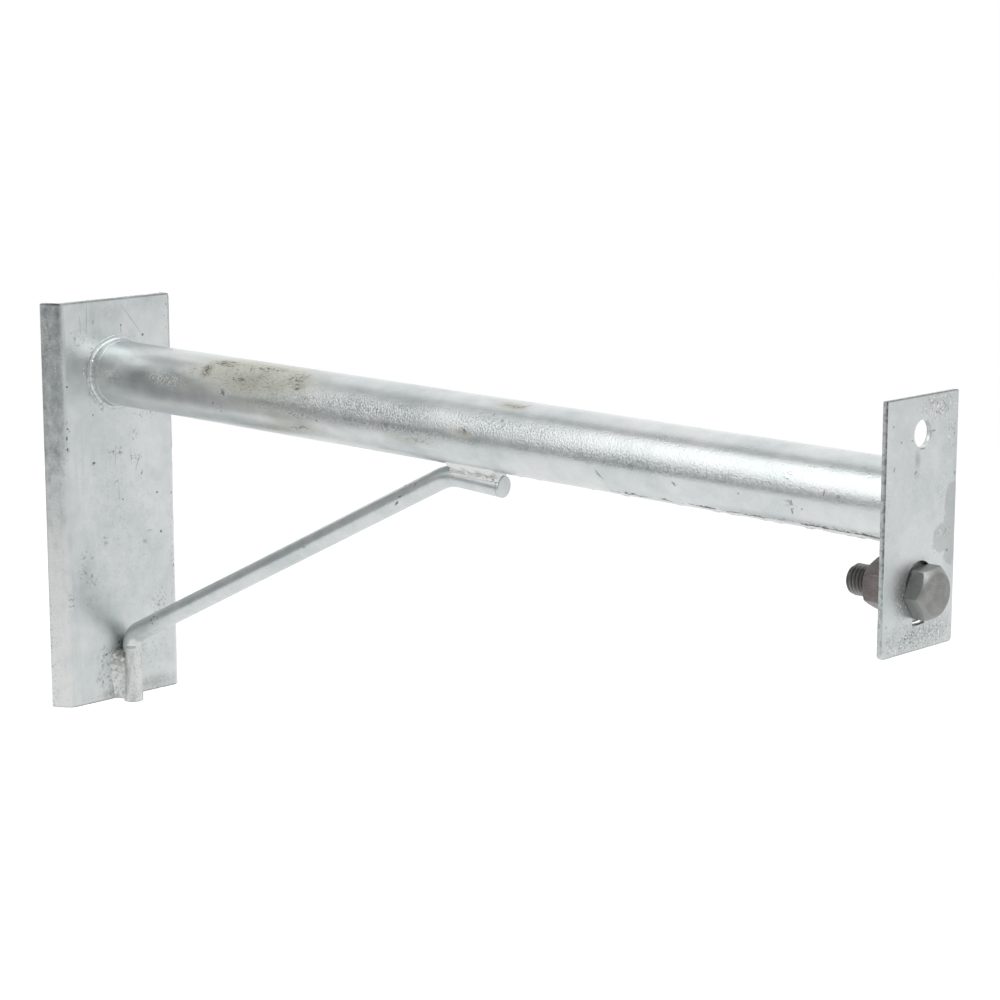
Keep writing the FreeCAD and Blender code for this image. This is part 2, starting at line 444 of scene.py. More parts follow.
def end_outline(shape, heights):
    """The edges between a swept piece's sides and its flat ends."""
    found = []
    for edge in shape.edges:
        height = sum(point.co.z for point in edge.verts) / 2
        at_end = min(abs(height - level * mm) for level in heights) < 1e-6
        if at_end and edge.calc_face_angle(0.0) > 1.0:
            found.append(edge)
    return found


def sheared(place):
    """1 at the plate's upper and lower edges, where the shear tore the steel a little."""
    from_edge = min(PLATE_HIGH * mm - place.z, place.z - PLATE_LOW * mm)
    return 1.0 - soft_step(from_edge / mm, 0.5, 1.8)


sweep(plate_shape, all_of(plate_shape), Vector((0, 0, PLATE_HIGH - PLATE_LOW)), PLATE_STEPS)
plate_shape.normal_update()
ease_edges(plate_shape, end_outline(plate_shape, (PLATE_LOW, PLATE_HIGH)), PLATE_EDGE)
for point in plate_shape.verts:
    tear = noise.noise(point.co / (2.6 * mm)) + 0.6 * noise.noise(point.co / (9 * mm))
    toward_middle = -1 if point.co.z > 0 else 1
    point.co.z += toward_middle * sheared(point.co) * TEAR_DEPTH * mm * abs(tear)


def slant_far_wing(shape):
    """The shear left the far wing's upper edge a little out of square."""
    for point in shape.verts:
        outward = soft_step(point.co.y / mm, WEB_HALF_WIDTH - 1.5, WEB_HALF_WIDTH + 2.5)
        point.co.z -= WING_SLANT * mm * outward * soft_step(point.co.z / mm, 20, PLATE_HIGH)


slant_far_wing(plate_shape)


def away_from_limits(place):
    """Less relief at the wings' tips, which set the arm's width and depth."""
    return 1.0 - soft_step(abs(place.y) / mm, 54.0, 57.0)


wander(plate_shape, 0.10, 34, 3.0, away_from_limits)
wander(plate_shape, 0.05, 9, 8.0, away_from_limits)
make_piece("pole_plate_folded", plate_shape, "pole_plate")


# %% [markdown]
# The arm is a length of steel pipe. A plain cylinder would do for its shape, but dipping
# leaves runs of zinc that froze as they drained along the underside, and those need points to
# stand on. So the wall's section is drawn as a line of many points and turned about the axis.

# %% Pipe
PIPE_RADIUS = 24.13
PIPE_WALL = 3.7
END_BACK = 735.6
PIPE_STEPS, PIPE_SEGMENTS = 400, 128
RUN_SPREAD = 1.5


def turn_about(shape, geometry, centre, steps, angle=math.tau, climb=0.0):
    """Turns a section about a line along X; a full turn closes on itself."""
    return bmesh.ops.spin(shape, geom=geometry, angle=angle, steps=steps, axis=(1, 0, 0),
                          cent=Vector(centre) * mm, dvec=(climb * mm, 0, 0),
                          use_merge=angle == math.tau and climb == 0.0)


def drip_line(x):
    """Degrees from straight down at which the zinc's last runs stopped and froze."""
    slow = noise.noise(Vector((x / 17, 0.3, 0.0)))
    quick = noise.noise(Vector((x / 4.5, 0.7, 0.0)))
    return 35.5 + 2.6 * slow + 1.8 * quick


def frozen_runs(rng, count, low, high):
    """Drops of zinc above the drip line: place, angle from straight down, size, height."""
    runs = []
    for number in range(count):
        x, length, width = rng.uniform(low, high), rng.uniform(2.5, 9.0), rng.uniform(1.3, 2.6)
        turn = math.radians(drip_line(x) + rng.gauss(0, RUN_SPREAD)) + 0.7 * width / PIPE_RADIUS
        runs.append((x, turn, length, width, rng.uniform(0.3, 0.8)))
    return runs


def hanging_drops(rng, count, low, high):
    """Drops that hang from the underside, in the same form as the runs."""
    return [(rng.uniform(low, high), math.radians(rng.gauss(12, 4)), rng.uniform(1.5, 5.0),
             rng.uniform(1.2, 2.2), rng.uniform(0.25, 0.75)) for number in range(count)]


def make_pipe():
    shape = bmesh.new()
    start = shape.verts.new(Vector((PLATE_THICKNESS, 0, PIPE_RADIUS)) * mm)
    sweep(shape, [start], Vector((END_BACK - PLATE_THICKNESS, 0, 0)), PIPE_STEPS)
    ends = sorted((point for point in shape.verts if len(point.link_edges) == 1),
                  key=lambda point: point.co.x)
    inner = [shape.verts.new(point.co - Vector((0, 0, PIPE_WALL * mm))) for point in ends]
    chain = [ends[0], *inner, ends[1]]
    for pair in zip(chain, chain[1:]):
        shape.edges.new(pair)
    turn_about(shape, shape.verts[:] + shape.edges[:], (0, 0, 0), PIPE_SEGMENTS)
    bmesh.ops.recalc_face_normals(shape, faces=shape.faces)
    return shape


def add_runs(shape, runs):
    """Raises the pipe's outer wall where zinc froze as it drained."""
    for point in shape.verts:
        x, y, z = point.co / mm
        if math.hypot(y, z) < PIPE_RADIUS - 1:
            continue
        angle = math.atan2(-y, -z)
        lift = 0.0
        for run_x, run_angle, length, width, height in runs:
            across = (angle - run_angle) * PIPE_RADIUS / width
            along = (x - run_x) / length
            if abs(along) < 1 and abs(across) < 1:
                lift = max(lift, height * (1 - along * along) * (1 - across * across))
        out = Vector((0, y, z)).normalized()
        rough = 1 + 0.6 * noise.noise(point.co / (1.6 * mm))
        point.co += out * (lift * rough * mm)


pipe_shape = make_pipe()
wander(pipe_shape, 0.05, 40, 1.0)
wander(pipe_shape, 0.03, 11, 2.0)
draining = random.Random(11)
add_runs(pipe_shape, frozen_runs(draining, 26, 540, 728) + frozen_runs(draining, 5, 505, 540)
         + hanging_drops(draining, 18, 560, 730) + hanging_drops(draining, 5, 430, 560))
make_piece("arm_pipe", pipe_shape, "arm_tube")


# %% [markdown]
# The end plate is a flat bar with a round hole and a keyhole. A boolean cut would leave long
# thin faces that can't carry relief. Here each outline is drawn several times, a little
# smaller or larger each time, and the copies are bridged: that gives the walls and their eased
# edges. The two faces are then filled between their outlines and cut into small squares.

# %% Outlines of the end plate
END_FRONT = 739.0
END_HALF_WIDTH = 33.2
END_TOP, END_BOTTOM = 61.6, -84.4
HOLE_RADIUS, HOLE_Z = 7.95, 40.1
KEYHOLE_RADIUS, KEYHOLE_Y = 12.25, 0.9
KEYHOLE_HIGH, KEYHOLE_LOW = -45.0, -51.0
SLOT_HALF_WIDTH, SLOT_BOTTOM = 5.6, -69.3
END_EDGE = 0.35


def edges_among(points):
    """The edges that run between these points."""
    found = {edge for point in points for edge in point.link_edges}
    return [edge for edge in found if all(end in points for end in edge.verts)]


def draw_circle(shape, centre, radius, segments):
    """An open circle of points that faces along the arm."""
    place = Matrix.Translation(Vector(centre) * mm) @ Matrix.Rotation(math.pi / 2, 4, "Y")
    made = bmesh.ops.create_circle(shape, cap_ends=False, radius=radius * mm,
                                   segments=segments, matrix=place)
    return set(made["verts"])


def draw_rim(shape, x, inset):
    """The plate's outer outline, drawn that much smaller all round."""
    half = (END_HALF_WIDTH - inset) * mm
    rows = ((END_BOTTOM + inset) * mm, (END_TOP - inset) * mm)
    corners = [shape.verts.new((x * mm, y, z)) for y, z in
               ((-half, rows[0]), (half, rows[0]), (half, rows[1]), (-half, rows[1]))]
    shape.faces.new(corners)
    before = set(shape.verts) - set(corners)
    round_corners(shape, corners[:2], 2.6 - inset, math.radians(90), 6)
    round_corners(shape, [point for point in corners[2:] if point.is_valid], 0.8 - inset,
                  math.radians(90), 3)
    points = set(shape.verts) - before
    face = next(iter(next(iter(points)).link_faces))
    bmesh.ops.delete(shape, geom=[face], context="FACES_ONLY")
    return points


def draw_round_hole(shape, x, inset):
    """The round hole, drawn that much larger."""
    return draw_circle(shape, (x, 0, HOLE_Z), HOLE_RADIUS + inset, 56)


def draw_keyhole(shape, x, inset):
    """The long hole with its square slot below, drawn that much larger."""
    points = draw_circle(shape, (x, KEYHOLE_Y, 0), KEYHOLE_RADIUS + inset, 90)
    radius = (KEYHOLE_RADIUS + inset) * mm
    half = (SLOT_HALF_WIDTH + inset) * mm
    gap = [point for point in points
           if point.co.z < 0 and abs(point.co.y - KEYHOLE_Y * mm) < half + 0.1 * mm]
    points -= set(gap)
    bmesh.ops.delete(shape, geom=gap, context="VERTS")
    open_ends = sorted((point for point in points if len(point.link_edges) == 1),
                       key=lambda point: point.co.y)
    for point in points:
        point.co.z += (KEYHOLE_HIGH if point.co.z > 0 else KEYHOLE_LOW) * mm
    mouth = KEYHOLE_LOW * mm - math.sqrt(radius * radius - half * half)
    bottom = (SLOT_BOTTOM - inset) * mm
    slot = [shape.verts.new((x * mm, KEYHOLE_Y * mm + side * half, z))
            for side, z in ((-1, mouth), (-1, bottom), (1, bottom), (1, mouth))]
    chain = [open_ends[0], *slot, open_ends[1]]
    for pair in zip(chain, chain[1:]):
        shape.edges.new(pair)
    return points | set(slot)


def ease_steps(thickness, radius):
    """Depth and inset of each outline, from the back face round to the front."""
    half_step = radius * (1 - math.sqrt(0.5))
    rows = [(0, radius), (half_step, half_step), (radius, 0)]
    return rows + [(thickness - depth, inset) for depth, inset in reversed(rows)]


def make_end_blank():
    shape = bmesh.new()
    faces = {"back": [], "front": []}
    for draw in (draw_rim, draw_round_hole, draw_keyhole):
        rings = [edges_among(draw(shape, END_BACK + depth, inset))
                 for depth, inset in ease_steps(END_FRONT - END_BACK, END_EDGE)]
        for first, second in zip(rings, rings[1:]):
            bmesh.ops.bridge_loops(shape, edges=first + second)
        faces["back"] += rings[0]
        faces["front"] += rings[-1]
    for outline in faces.values():
        bmesh.ops.triangle_fill(shape, use_beauty=True, edges=outline)
    return shape


end_shape = make_end_blank()
print("blank has", len(end_shape.faces), "faces")


# %% Squares and relief on the end plate
LUMP_HEIGHT = 0.55


def drop_diagonals(shape, plane_x):
    """Joins the triangles in each square of a flat face that was cut across both ways."""
    def level(place):
        return abs(place.x - plane_x * mm) < 1e-6

    def slanted(edge):
        run = edge.verts[1].co - edge.verts[0].co
        return min(abs(run.y), abs(run.z)) > 1e-6

    diagonals = [edge for edge in shape.edges
                 if len(edge.link_faces) == 2 and slanted(edge)
                 and all(level(point.co) for face in edge.link_faces for point in face.verts)]
    bmesh.ops.dissolve_edges(shape, edges=diagonals, use_verts=False)


cut_across(end_shape, 1, -33.0, 33.0, 1.0)
cut_across(end_shape, 2, -84.0, 61.0, 1.0)
for plane in (END_BACK, END_FRONT):
    drop_diagonals(end_shape, plane)


def end_relief(place):
    """Share of the lumps' height on the front face: they lie along the lower edge."""
    y, z = place.y / mm, place.z / mm
    band = soft_step(z, -81.5, -79) * (1 - soft_step(z, -70.5, -67.5))
    band *= soft_step(31 - abs(y), 0, 4)
    lumps = max(0.0, noise.noise(Vector((y / 1.7, z / 1.9, 4.0))) + 0.12)
    return band * (0.15 + 0.85 * lumps)


for point in end_shape.verts:
    if point.co.x > (END_FRONT - 0.01) * mm:
        point.co.x += end_relief(point.co) * LUMP_HEIGHT * mm
bmesh.ops.recalc_face_normals(end_shape, faces=end_shape.faces)


def inside_rim(place):
    """Less relief at the plate's upper edge, which sets the arm's height."""
    return 1.0 - soft_step(place.z / mm, 58.0, 61.0)


wander(end_shape, 0.07, 30, 5.0, inside_rim)
wander(end_shape, 0.03, 6, 6.0, inside_rim)
make_piece("end_plate_punched", end_shape, "end_plate")


# %% [markdown]
# The brace is a round bar bent twice. A curve with a round bevel would show it, but its bends
# would then follow the curve's handles. A bender turns the bar about a fixed centre, and the
# spin operator does the same: a ring of points is carried straight, turned about a centre, and
# carried straight again.

# %% Brace bar
BAR_RADIUS = 7.3
BAR_Y = 1.0
FOOT_X = PLATE_THICKNESS + 0.8 + BAR_RADIUS
FOOT_END = PLATE_LOW - 1.8
BAR_CORNERS = [
    Vector((FOOT_X, BAR_Y, FOOT_END)),
    Vector((FOOT_X, BAR_Y, FOOT_END + 50.9)),
    Vector((360.5, BAR_Y, -PIPE_RADIUS - 0.4 - BAR_RADIUS)),
]
DROOP = math.radians(2.4)
BAR_CORNERS.append(BAR_CORNERS[2] + 49.1 * Vector((math.cos(DROOP), 0, -math.sin(DROOP))))
LEG_Z, BAR_END = BAR_CORNERS[2].z, BAR_CORNERS[3].x
BEND_RADII = (16.0, 45.0)
SLANTED_CUT = 2.3
RING_SPACING = 1.4


def bend(shape, ring, corner, inward, outward, radius):
    """Turns a ring of points round a bend's centre, as a bender does."""
    half = inward.angle(outward) / 2
    centre = corner + (outward - inward).normalized() * (radius / math.cos(half))
    side = inward.cross(outward).normalized()
    steps = max(6, int(2 * half * radius / RING_SPACING))
    turned = bmesh.ops.spin(shape, geom=ring, angle=2 * half, steps=steps, axis=side,
                            cent=centre * mm, dvec=(0, 0, 0))
    return turned["geom_last"]


def slant_end(shape):
    """The saw cut the outer end a little out of square, so the near side is longer."""
    for point in shape.verts:
        at_end = soft_step(point.co.x / mm, BAR_END - 2.5, BAR_END - 1.2)
        nearer = 0.5 - (point.co.y / mm - BAR_Y) / (2 * BAR_RADIUS)
        point.co.x += at_end * nearer * SLANTED_CUT * mm


def make_bar():
    shape = bmesh.new()
    lower_end = Matrix.Translation(BAR_CORNERS[0] * mm)
    bmesh.ops.create_circle(shape, cap_ends=True, radius=BAR_RADIUS * mm, segments=48,
                            matrix=lower_end)
    ring = all_of(shape)
    runs = [(b - a).normalized() for a, b in zip(BAR_CORNERS, BAR_CORNERS[1:])]
    used = 0.0
    for number, direction in enumerate(runs):
        length = (BAR_CORNERS[number + 1] - BAR_CORNERS[number]).length - used
        if number < len(BEND_RADII):
            turn = direction.angle(runs[number + 1])
            used = BEND_RADII[number] * math.tan(turn / 2)
            length -= used
        ring = sweep(shape, ring, direction * length, int(length / RING_SPACING))
        if number < len(BEND_RADII):
            ring = bend(shape, ring, BAR_CORNERS[number + 1], direction, runs[number + 1],
                        BEND_RADII[number])
    bmesh.ops.recalc_face_normals(shape, faces=shape.faces)
    rims = [edge for edge in shape.edges if edge.calc_face_angle(0.0) > 1.0]
    ease_edges(shape, rims, 0.6, 4)
    slant_end(shape)
    return shape


def above_foot(place):
    """Less relief at the bar's lower end, which sets the arm's height."""
    return soft_step(place.z / mm, PLATE_LOW, PLATE_LOW + 6)


bar_shape = make_bar()
wander(bar_shape, 0.06, 18, 4.0, above_foot)
wander(bar_shape, 0.03, 5, 9.0, above_foot)
make_piece("brace_bar_bent", bar_shape, "brace_rod")


# %% [markdown]
# Bolt heads and nuts are forged from bar and then turned, so each flat ends in an arc where
# the turned chamfer cuts it. A ring of many points gives those arcs for free: the ring is
# pushed out to a hexagon, and a point's height is lowered by how far it lies beyond the
# chamfer's rim.

# %% Hexagons
BOLT_AXIS = Vector((0.0, 2.1, -50.2))
CHAMFER_SLOPE = math.tan(math.radians(30))
CORNER_WEAR = 0.1085
RING_POINTS = 144


def hexagon(across_flats, turn, inset=0.0):
    """A rule for a point's distance from the axis, given its angle; corners are worn."""
    flat = across_flats / 2
    corner = flat / math.cos(math.radians(30))

    def reach(angle):
        from_flat = (angle - turn) % math.radians(60) - math.radians(30)
        sharp = flat / math.cos(from_flat)
        worn = corner - CORNER_WEAR - (corner - sharp) * 0.22
        return min(sharp, worn) - inset
    return reach


def circle(radius):
    """The same distance from the axis at every angle."""
    return lambda angle: radius


def at(x):
    """A rule for a point's place along the axis, given its distance: here always x."""
    return lambda distance: x


def trimmed(level, facing, rim, slope=CHAMFER_SLOPE):
    """The place along the axis where a turned chamfer leaves a point."""
    return lambda distance: level - facing * max(0.0, distance - rim) * slope


def place_ring(points, x, reach):
    """Puts a ring of points at x, each as far from the bolt's axis as its angle asks."""
    for point in points:
        away = Vector((0.0, point.co.y, point.co.z)) - BOLT_AXIS * mm
        distance = reach(math.atan2(away.z, away.y))
        centre = (BOLT_AXIS + Vector((x(distance), 0, 0))) * mm
        point.co = centre + away.normalized() * distance * mm


def stack_rings(shape, rings):
    """Joins rings, each given by its two rules; returns the edges of the first and the last."""
    points = draw_circle(shape, BOLT_AXIS, 10, RING_POINTS)
    place_ring(points, *rings[0])
    first = ring = edges_among(points)
    for x, reach in rings[1:]:
        made = bmesh.ops.extrude_edge_only(shape, edges=ring)["geom"]
        points = {item for item in made if isinstance(item, bmesh.types.BMVert)}
        place_ring(points, x, reach)
        ring = edges_among(points)
    return first, ring


print("hexagon helpers ready")


# %% [markdown]
# The bolt's thread is one groove that winds round its shank. One turn of its profile is drawn
# as a short zigzag and spun round the axis with a steady climb of one pitch a turn, so that
# each turn's edge meets the next. The ends are then cut square, and the tip is turned down to
# its chamfer by drawing in every point that stands outside it.

# %% Bolt
HEAD_ACROSS_FLATS, HEAD_HEIGHT, HEAD_TURN = 28.575, 11.6, math.radians(5.3)
HEAD_TOP = END_FRONT + HEAD_HEIGHT
HEAD_FACE_RADIUS, HEAD_SLOPE = 12.2, math.tan(math.radians(37.5))
# Share of the face's radius, and how far the face lies below its highest ring there.
HEAD_FACE = ((1.1, 0.94), (1.01, 0.12), (0.985, 0.02), (0.85, 0.0), (0.6, 0.06), (0.35, 0.1),
             (0.15, 0.1))
BOLT_RADIUS, BOLT_TIP, TIP_CHAMFER = 9.4, 692.2, 1.75
PITCH, THREAD_DEPTH, THREAD_STEPS = 2.54, 1.45, 48
# Share of one pitch along the axis, and share of the thread's depth that stands there.
THREAD_PROFILE = ((0.0, 1.0), (0.44, 0.0), (0.56, 0.0), (0.94, 0.86), (1.0, 1.0))


def make_head():
    def side(inset=0.0):
        return hexagon(HEAD_ACROSS_FLATS, HEAD_TURN, inset)

    def chamfer(drop):
        return trimmed(HEAD_TOP - drop, 1, HEAD_FACE_RADIUS, HEAD_SLOPE)

    rings = [(at(END_FRONT), circle(BOLT_RADIUS)), (at(END_FRONT), side(0.3)),
             (at(END_FRONT + 0.3), side()), (at(END_FRONT + 3.5), side()),
             (chamfer(0.35), side()), (chamfer(0.05), side(0.45))]
    rings += [(at(HEAD_TOP - drop), circle(HEAD_FACE_RADIUS * share))
              for share, drop in HEAD_FACE]
    shape = bmesh.new()
    last = stack_rings(shape, rings)[1]
    bmesh.ops.holes_fill(shape, edges=last, sides=0)
    return shape


def add_thread(shape, start, end):
    """A helical thread that reaches a little past two places on the axis."""
    profile = []
    for part, height in THREAD_PROFILE:
        radius = BOLT_RADIUS - THREAD_DEPTH * (1 - height)
        place = BOLT_AXIS + Vector((start - 2 * PITCH + part * PITCH, 0, radius))
        profile.append(shape.verts.new(place * mm))
    edges = [shape.edges.new(pair) for pair in zip(profile, profile[1:])]
    turns = int((end - start) / PITCH) + 4
    turn_about(shape, profile + edges, BOLT_AXIS, turns * THREAD_STEPS, math.tau * turns,
               PITCH / THREAD_STEPS)
    bmesh.ops.remove_doubles(shape, verts=shape.verts, dist=5e-6)


def cut_thread(shape, start, end):
    """Cuts the thread square at two places and closes the cuts."""
    for x, outward in ((start, -1), (end, 1)):
        bmesh.ops.bisect_plane(shape, geom=all_of(shape), dist=1e-7, plane_co=(x * mm, 0, 0),
                               plane_no=(outward, 0, 0), clear_outer=True)
        open_edges = [edge for edge in shape.edges if edge.is_boundary
                      and all(abs(point.co.x - x * mm) < 1e-6 for point in edge.verts)]
        bmesh.ops.holes_fill(shape, edges=open_edges, sides=0)


def chamfer_tip(shape):
    """Draws in every point that stands outside the tip's chamfer."""
    for point in shape.verts:
        away = Vector((0, point.co.y, point.co.z)) - BOLT_AXIS * mm
        limit = BOLT_RADIUS - TIP_CHAMFER + (point.co.x / mm - BOLT_TIP)
        if away.length > limit * mm:
            point.co -= away.normalized() * (away.length - limit * mm)


bolt_shape = bmesh.new()
add_thread(bolt_shape, BOLT_TIP, END_FRONT)
print("thread", len(bolt_shape.faces), "faces")
cut_thread(bolt_shape, BOLT_TIP, END_FRONT + 1.0)
chamfer_tip(bolt_shape)
merge(bolt_shape, make_head())
make_piece("clamp_bolt_threaded", bolt_shape, "clamp_bolt")


# %% [markdown]
# The nut is built like the bolt's head, from rings pushed out to a hexagon, but it is
# chamfered at both ends and has a bore with a countersink at each end.

# %% Nut
NUT_ACROSS_FLATS, NUT_TURN = 27.0, math.radians(31)
NUT_BACK, NUT_FRONT = 707.9, 726.5
NUT_RIM = NUT_ACROSS_FLATS / 2 - 0.3
NUT_COUNTERSINK = 1.3


def nut_side(inset=0.0):
    return hexagon(NUT_ACROSS_FLATS, NUT_TURN, inset)


def nut_end(x, facing):
    """The rings of one end, from the bore out over the rim to the flats."""
    return [
        (at(x - facing * NUT_COUNTERSINK), circle(BOLT_RADIUS)),
        (at(x - facing * 0.15), circle(BOLT_RADIUS + NUT_COUNTERSINK - 0.15)),
        (at(x), circle(BOLT_RADIUS + NUT_COUNTERSINK + 0.1)),
        (at(x), circle(NUT_RIM - 0.15)),
        (at(x - facing * 0.08), circle(NUT_RIM + 0.1)),
        (trimmed(x - facing * 0.05, facing, NUT_RIM), nut_side(0.35)),
        (trimmed(x - facing * 0.35, facing, NUT_RIM), nut_side()),
    ]


def make_nut():
    rings = nut_end(NUT_BACK, -1) + [(at((NUT_BACK + NUT_FRONT) / 2), nut_side())]
    rings += reversed(nut_end(NUT_FRONT, 1))
    shape = bmesh.new()
    first, last = stack_rings(shape, rings)
    bmesh.ops.bridge_loops(shape, edges=last + first)
    return shape


make_piece("clamp_nut_chamfered", make_nut(), "clamp_nut")


# %% [markdown]
# Two washers stand between the nut and the plate. The plain one is stamped from sheet, and its
# rim shows through the keyhole. The other is a spring washer: a square bar wound into one turn
# and cut through on a slant. Both are a section turned about the bolt, the spring washer not
# quite all the way round.

# %% Washers
WASHERS_MEET = 731.3
# Outer and inner radius, then where the washer begins and ends along the arm.
PLAIN_WASHER = (18.65, 10.3, WASHERS_MEET, END_BACK)
SPRING_WASHER = (16.1, 9.8, NUT_FRONT, WASHERS_MEET)
SPRING_GAP = math.radians(5)


def washer_section(shape, outer, inner, back, front, ease):
    """A washer's section above the bolt's axis, with eased corners."""
    corners = [shape.verts.new((BOLT_AXIS + Vector((x, 0, radius))) * mm)
               for x, radius in ((back, inner), (front, inner), (front, outer), (back, outer))]
    shape.faces.new(corners)
    round_corners(shape, corners, ease, math.radians(90), 3)


def make_plain_washer():
    shape = bmesh.new()
    washer_section(shape, *PLAIN_WASHER, 0.5)
    bmesh.ops.delete(shape, geom=shape.faces[:], context="FACES_ONLY")
    turn_about(shape, shape.verts[:] + shape.edges[:], BOLT_AXIS, 120)
    return shape


def make_spring_washer():
    """Its two ends stand a little apart along the bolt, as the spring wants."""
    shape = bmesh.new()
    washer_section(shape, *SPRING_WASHER, 0.4)
    turn = Matrix.Rotation(SPRING_GAP / 2, 4, "X")
    bmesh.ops.rotate(shape, verts=shape.verts, cent=BOLT_AXIS * mm, matrix=turn)
    turn_about(shape, all_of(shape), BOLT_AXIS, 110, math.tau - SPRING_GAP)
    return shape


make_piece("plain_washer", make_plain_washer(), "clamp_washer")
make_piece("spring_washer", make_spring_washer(), "clamp_spring_washer")


# %% [markdown]
# A weld bead is a row of small frozen pools. Each ring weld starts as a hollow fillet turned
# round the pipe. Its points are then pushed out by a ripple that follows the welder's hand
# and by a coarser noise, because no two pools freeze alike. Around the pole weld lie drops of
# spatter, half sunk in the zinc.

# %% Ring welds
def rough_side(degrees):
    """The side of the ring, seen from the arm's end, where the bead broke into drops."""
    return soft_step(degrees, 135, 165) * (1 - soft_step(degrees, 250, 285))


def make_ring_bead(plate_x, facing, leg_on_plate, leg_on_pipe, seed):
    """A fillet bead round the pipe; facing is the way it builds up from the plate."""
    def bumps(place, wave):
        return noise.noise(place / (wave * mm) + Vector((seed, 0, 0)))

    shape = bmesh.new()
    profile = [(-0.3, leg_on_plate), (0.5, leg_on_plate - 0.02), (0.8, leg_on_plate - 0.25),
               (0.85, leg_on_plate - 0.6), (0.7, leg_on_plate - 1.0), (0.72, 2.2), (0.8, 1.8),
               (1.05, 1.4), (1.5, 1.05), (2.1, 0.8), (2.8, 0.6), (3.6, 0.42),
               (leg_on_pipe, 0.25), (leg_on_pipe + 0.3, -0.3), (0.5, -0.6), (-0.3, -0.6)]
    points = [shape.verts.new(Vector((plate_x + facing * along, 0, PIPE_RADIUS + out)) * mm)
              for along, out in profile]
    edges = [shape.edges.new(pair) for pair in zip(points, points[1:] + points[:1])]
    turn_about(shape, points + edges, (0, 0, 0), 240)
    bmesh.ops.recalc_face_normals(shape, faces=shape.faces)
    shape.normal_update()
    for point in shape.verts:
        away = math.hypot(point.co.y, point.co.z) / mm - PIPE_RADIUS
        depth = facing * (point.co.x / mm - plate_x)
        if away < 0.05 or depth < 0.05:
            continue
        rough = rough_side(math.degrees(math.atan2(point.co.z, point.co.y)) % 360)
        pool, lump, fine = (bumps(point.co, wave) for wave in (9, 2.6, 1.1))
        push = 0.12 * pool + rough * (0.18 + 0.34 * lump + 0.30 * fine) + 0.04 * fine
        point.co += point.normal * (push * mm)
    return shape


def add_spatter(shape, rng, count, x, low, high, radii, sizes):
    """Small frozen drops on a plate, in an arc round the pipe."""
    for number in range(count):
        turn = math.radians(rng.uniform(low, high))
        away = rng.uniform(*radii)
        size = rng.uniform(*sizes)
        place = (Matrix.Translation(Vector((x, away * math.cos(turn), away * math.sin(turn))) * mm)
                 @ Matrix.Diagonal((0.7, 1.0, 1.0, 1.0)))
        bmesh.ops.create_icosphere(shape, subdivisions=2, radius=size * mm, matrix=place)


pole_bead = make_ring_bead(PLATE_THICKNESS, 1, 4.0, 6.5, 20.0)
welding = random.Random(5)
add_spatter(pole_bead, welding, 26, PLATE_THICKNESS, 150, 245, (28.0, 31.5), (0.3, 0.75))
add_spatter(pole_bead, welding, 8, PLATE_THICKNESS, 40, 100, (28.3, 31.0), (0.3, 0.5))
make_piece("pole_weld_bead", pole_bead, "pole_weld")
end_bead = make_ring_bead(END_BACK, -1, 4.0, 4.0, 40.0)
make_piece("end_weld_bead", end_bead, "end_weld")


# %% [markdown]
# The bar's two beads run along it, and each has a half on either side of the bar. A half is
# drawn as a bulging section and swept along the joint in short steps, then shaped and made
# lumpy. A bead that was laid in one pass has clear ripples. These were laid in a hurry, in
# blobs, so a coarse noise leads.

# %% Beads along the bar
BEAD_STEP = 0.7


def swept_bead(section, start, distance):
    """A closed section carried along a straight line; start moves it into place."""
    shape = bmesh.new()
    points = [shape.verts.new((start + Vector(place)) * mm) for place in section]
    face = shape.faces.new(points)
    sweep(shape, points + list(face.edges) + [face], Vector(distance),
          int(Vector(distance).length / BEAD_STEP))
    bmesh.ops.recalc_face_normals(shape, faces=shape.faces)
    return shape


def bulge(first, second, lift, count):
    """Points from first to second along a bow that stands out by lift to its left."""
    first, second = Vector(first), Vector(second)
    run = second - first
    side = Vector((-run.y, run.x)).normalized()
    rows = []
    for number in range(count + 1):
        part = number / count
        rows.append(first + run * part + side * (lift * math.sin(part * math.pi)))
    return rows


def lumpy(shape, amount, wave, seed, free):
    """Pushes points along their normals by a coarse and a fine noise where free says so."""
    shape.normal_update()
    for point in shape.verts:
        place = point.co / mm
        share = free(place)
        if share > 0:
            coarse = noise.noise(place / wave + Vector((seed, 0, 0)))
            fine = noise.noise(place / (wave * 0.35) + Vector((0, seed, 0)))
            point.co += point.normal * (share * amount * (coarse + 0.45 * fine) * mm)


NEAR, FAR = -1, 1
FOOT_WELD_LOW, FOOT_WELD_TOP = PLATE_LOW + 0.3, PLATE_LOW + 38.0
FOOT_WELD_LENGTH = 37.4
FOOT_WIDTHS = {NEAR: 8.0, FAR: 3.5}


def make_bead(make_half):
    """A bead with its near and its far half."""
    whole = bmesh.new()
    for side in (NEAR, FAR):
        merge(whole, make_half(side))
    return whole


def foot_section(side):
    """Section of the foot bead seen from above, on that side of the bar."""
    rows = bulge((PLATE_THICKNESS - 0.2, BAR_Y + side * (BAR_RADIUS + FOOT_WIDTHS[side])),
                 (FOOT_X, BAR_Y + side * (BAR_RADIUS - 0.25)), -1.2 * side, 14)
    rows += [Vector((FOOT_X - 1.0, BAR_Y + side * (BAR_RADIUS - 2.0))),
             Vector((PLATE_THICKNESS - 0.3, BAR_Y + side * 2.0))]
    return [(x, y, 0.0) for x, y in rows]


def foot_width(place):
    """How wide the foot bead is at this height: widest near its top, narrow at its foot."""
    share = 0.62 + 0.38 * soft_step(place.z - PLATE_LOW, 6, 22)
    return share * (0.3 + 0.7 * soft_step(FOOT_WELD_TOP - place.z, 0, 5))


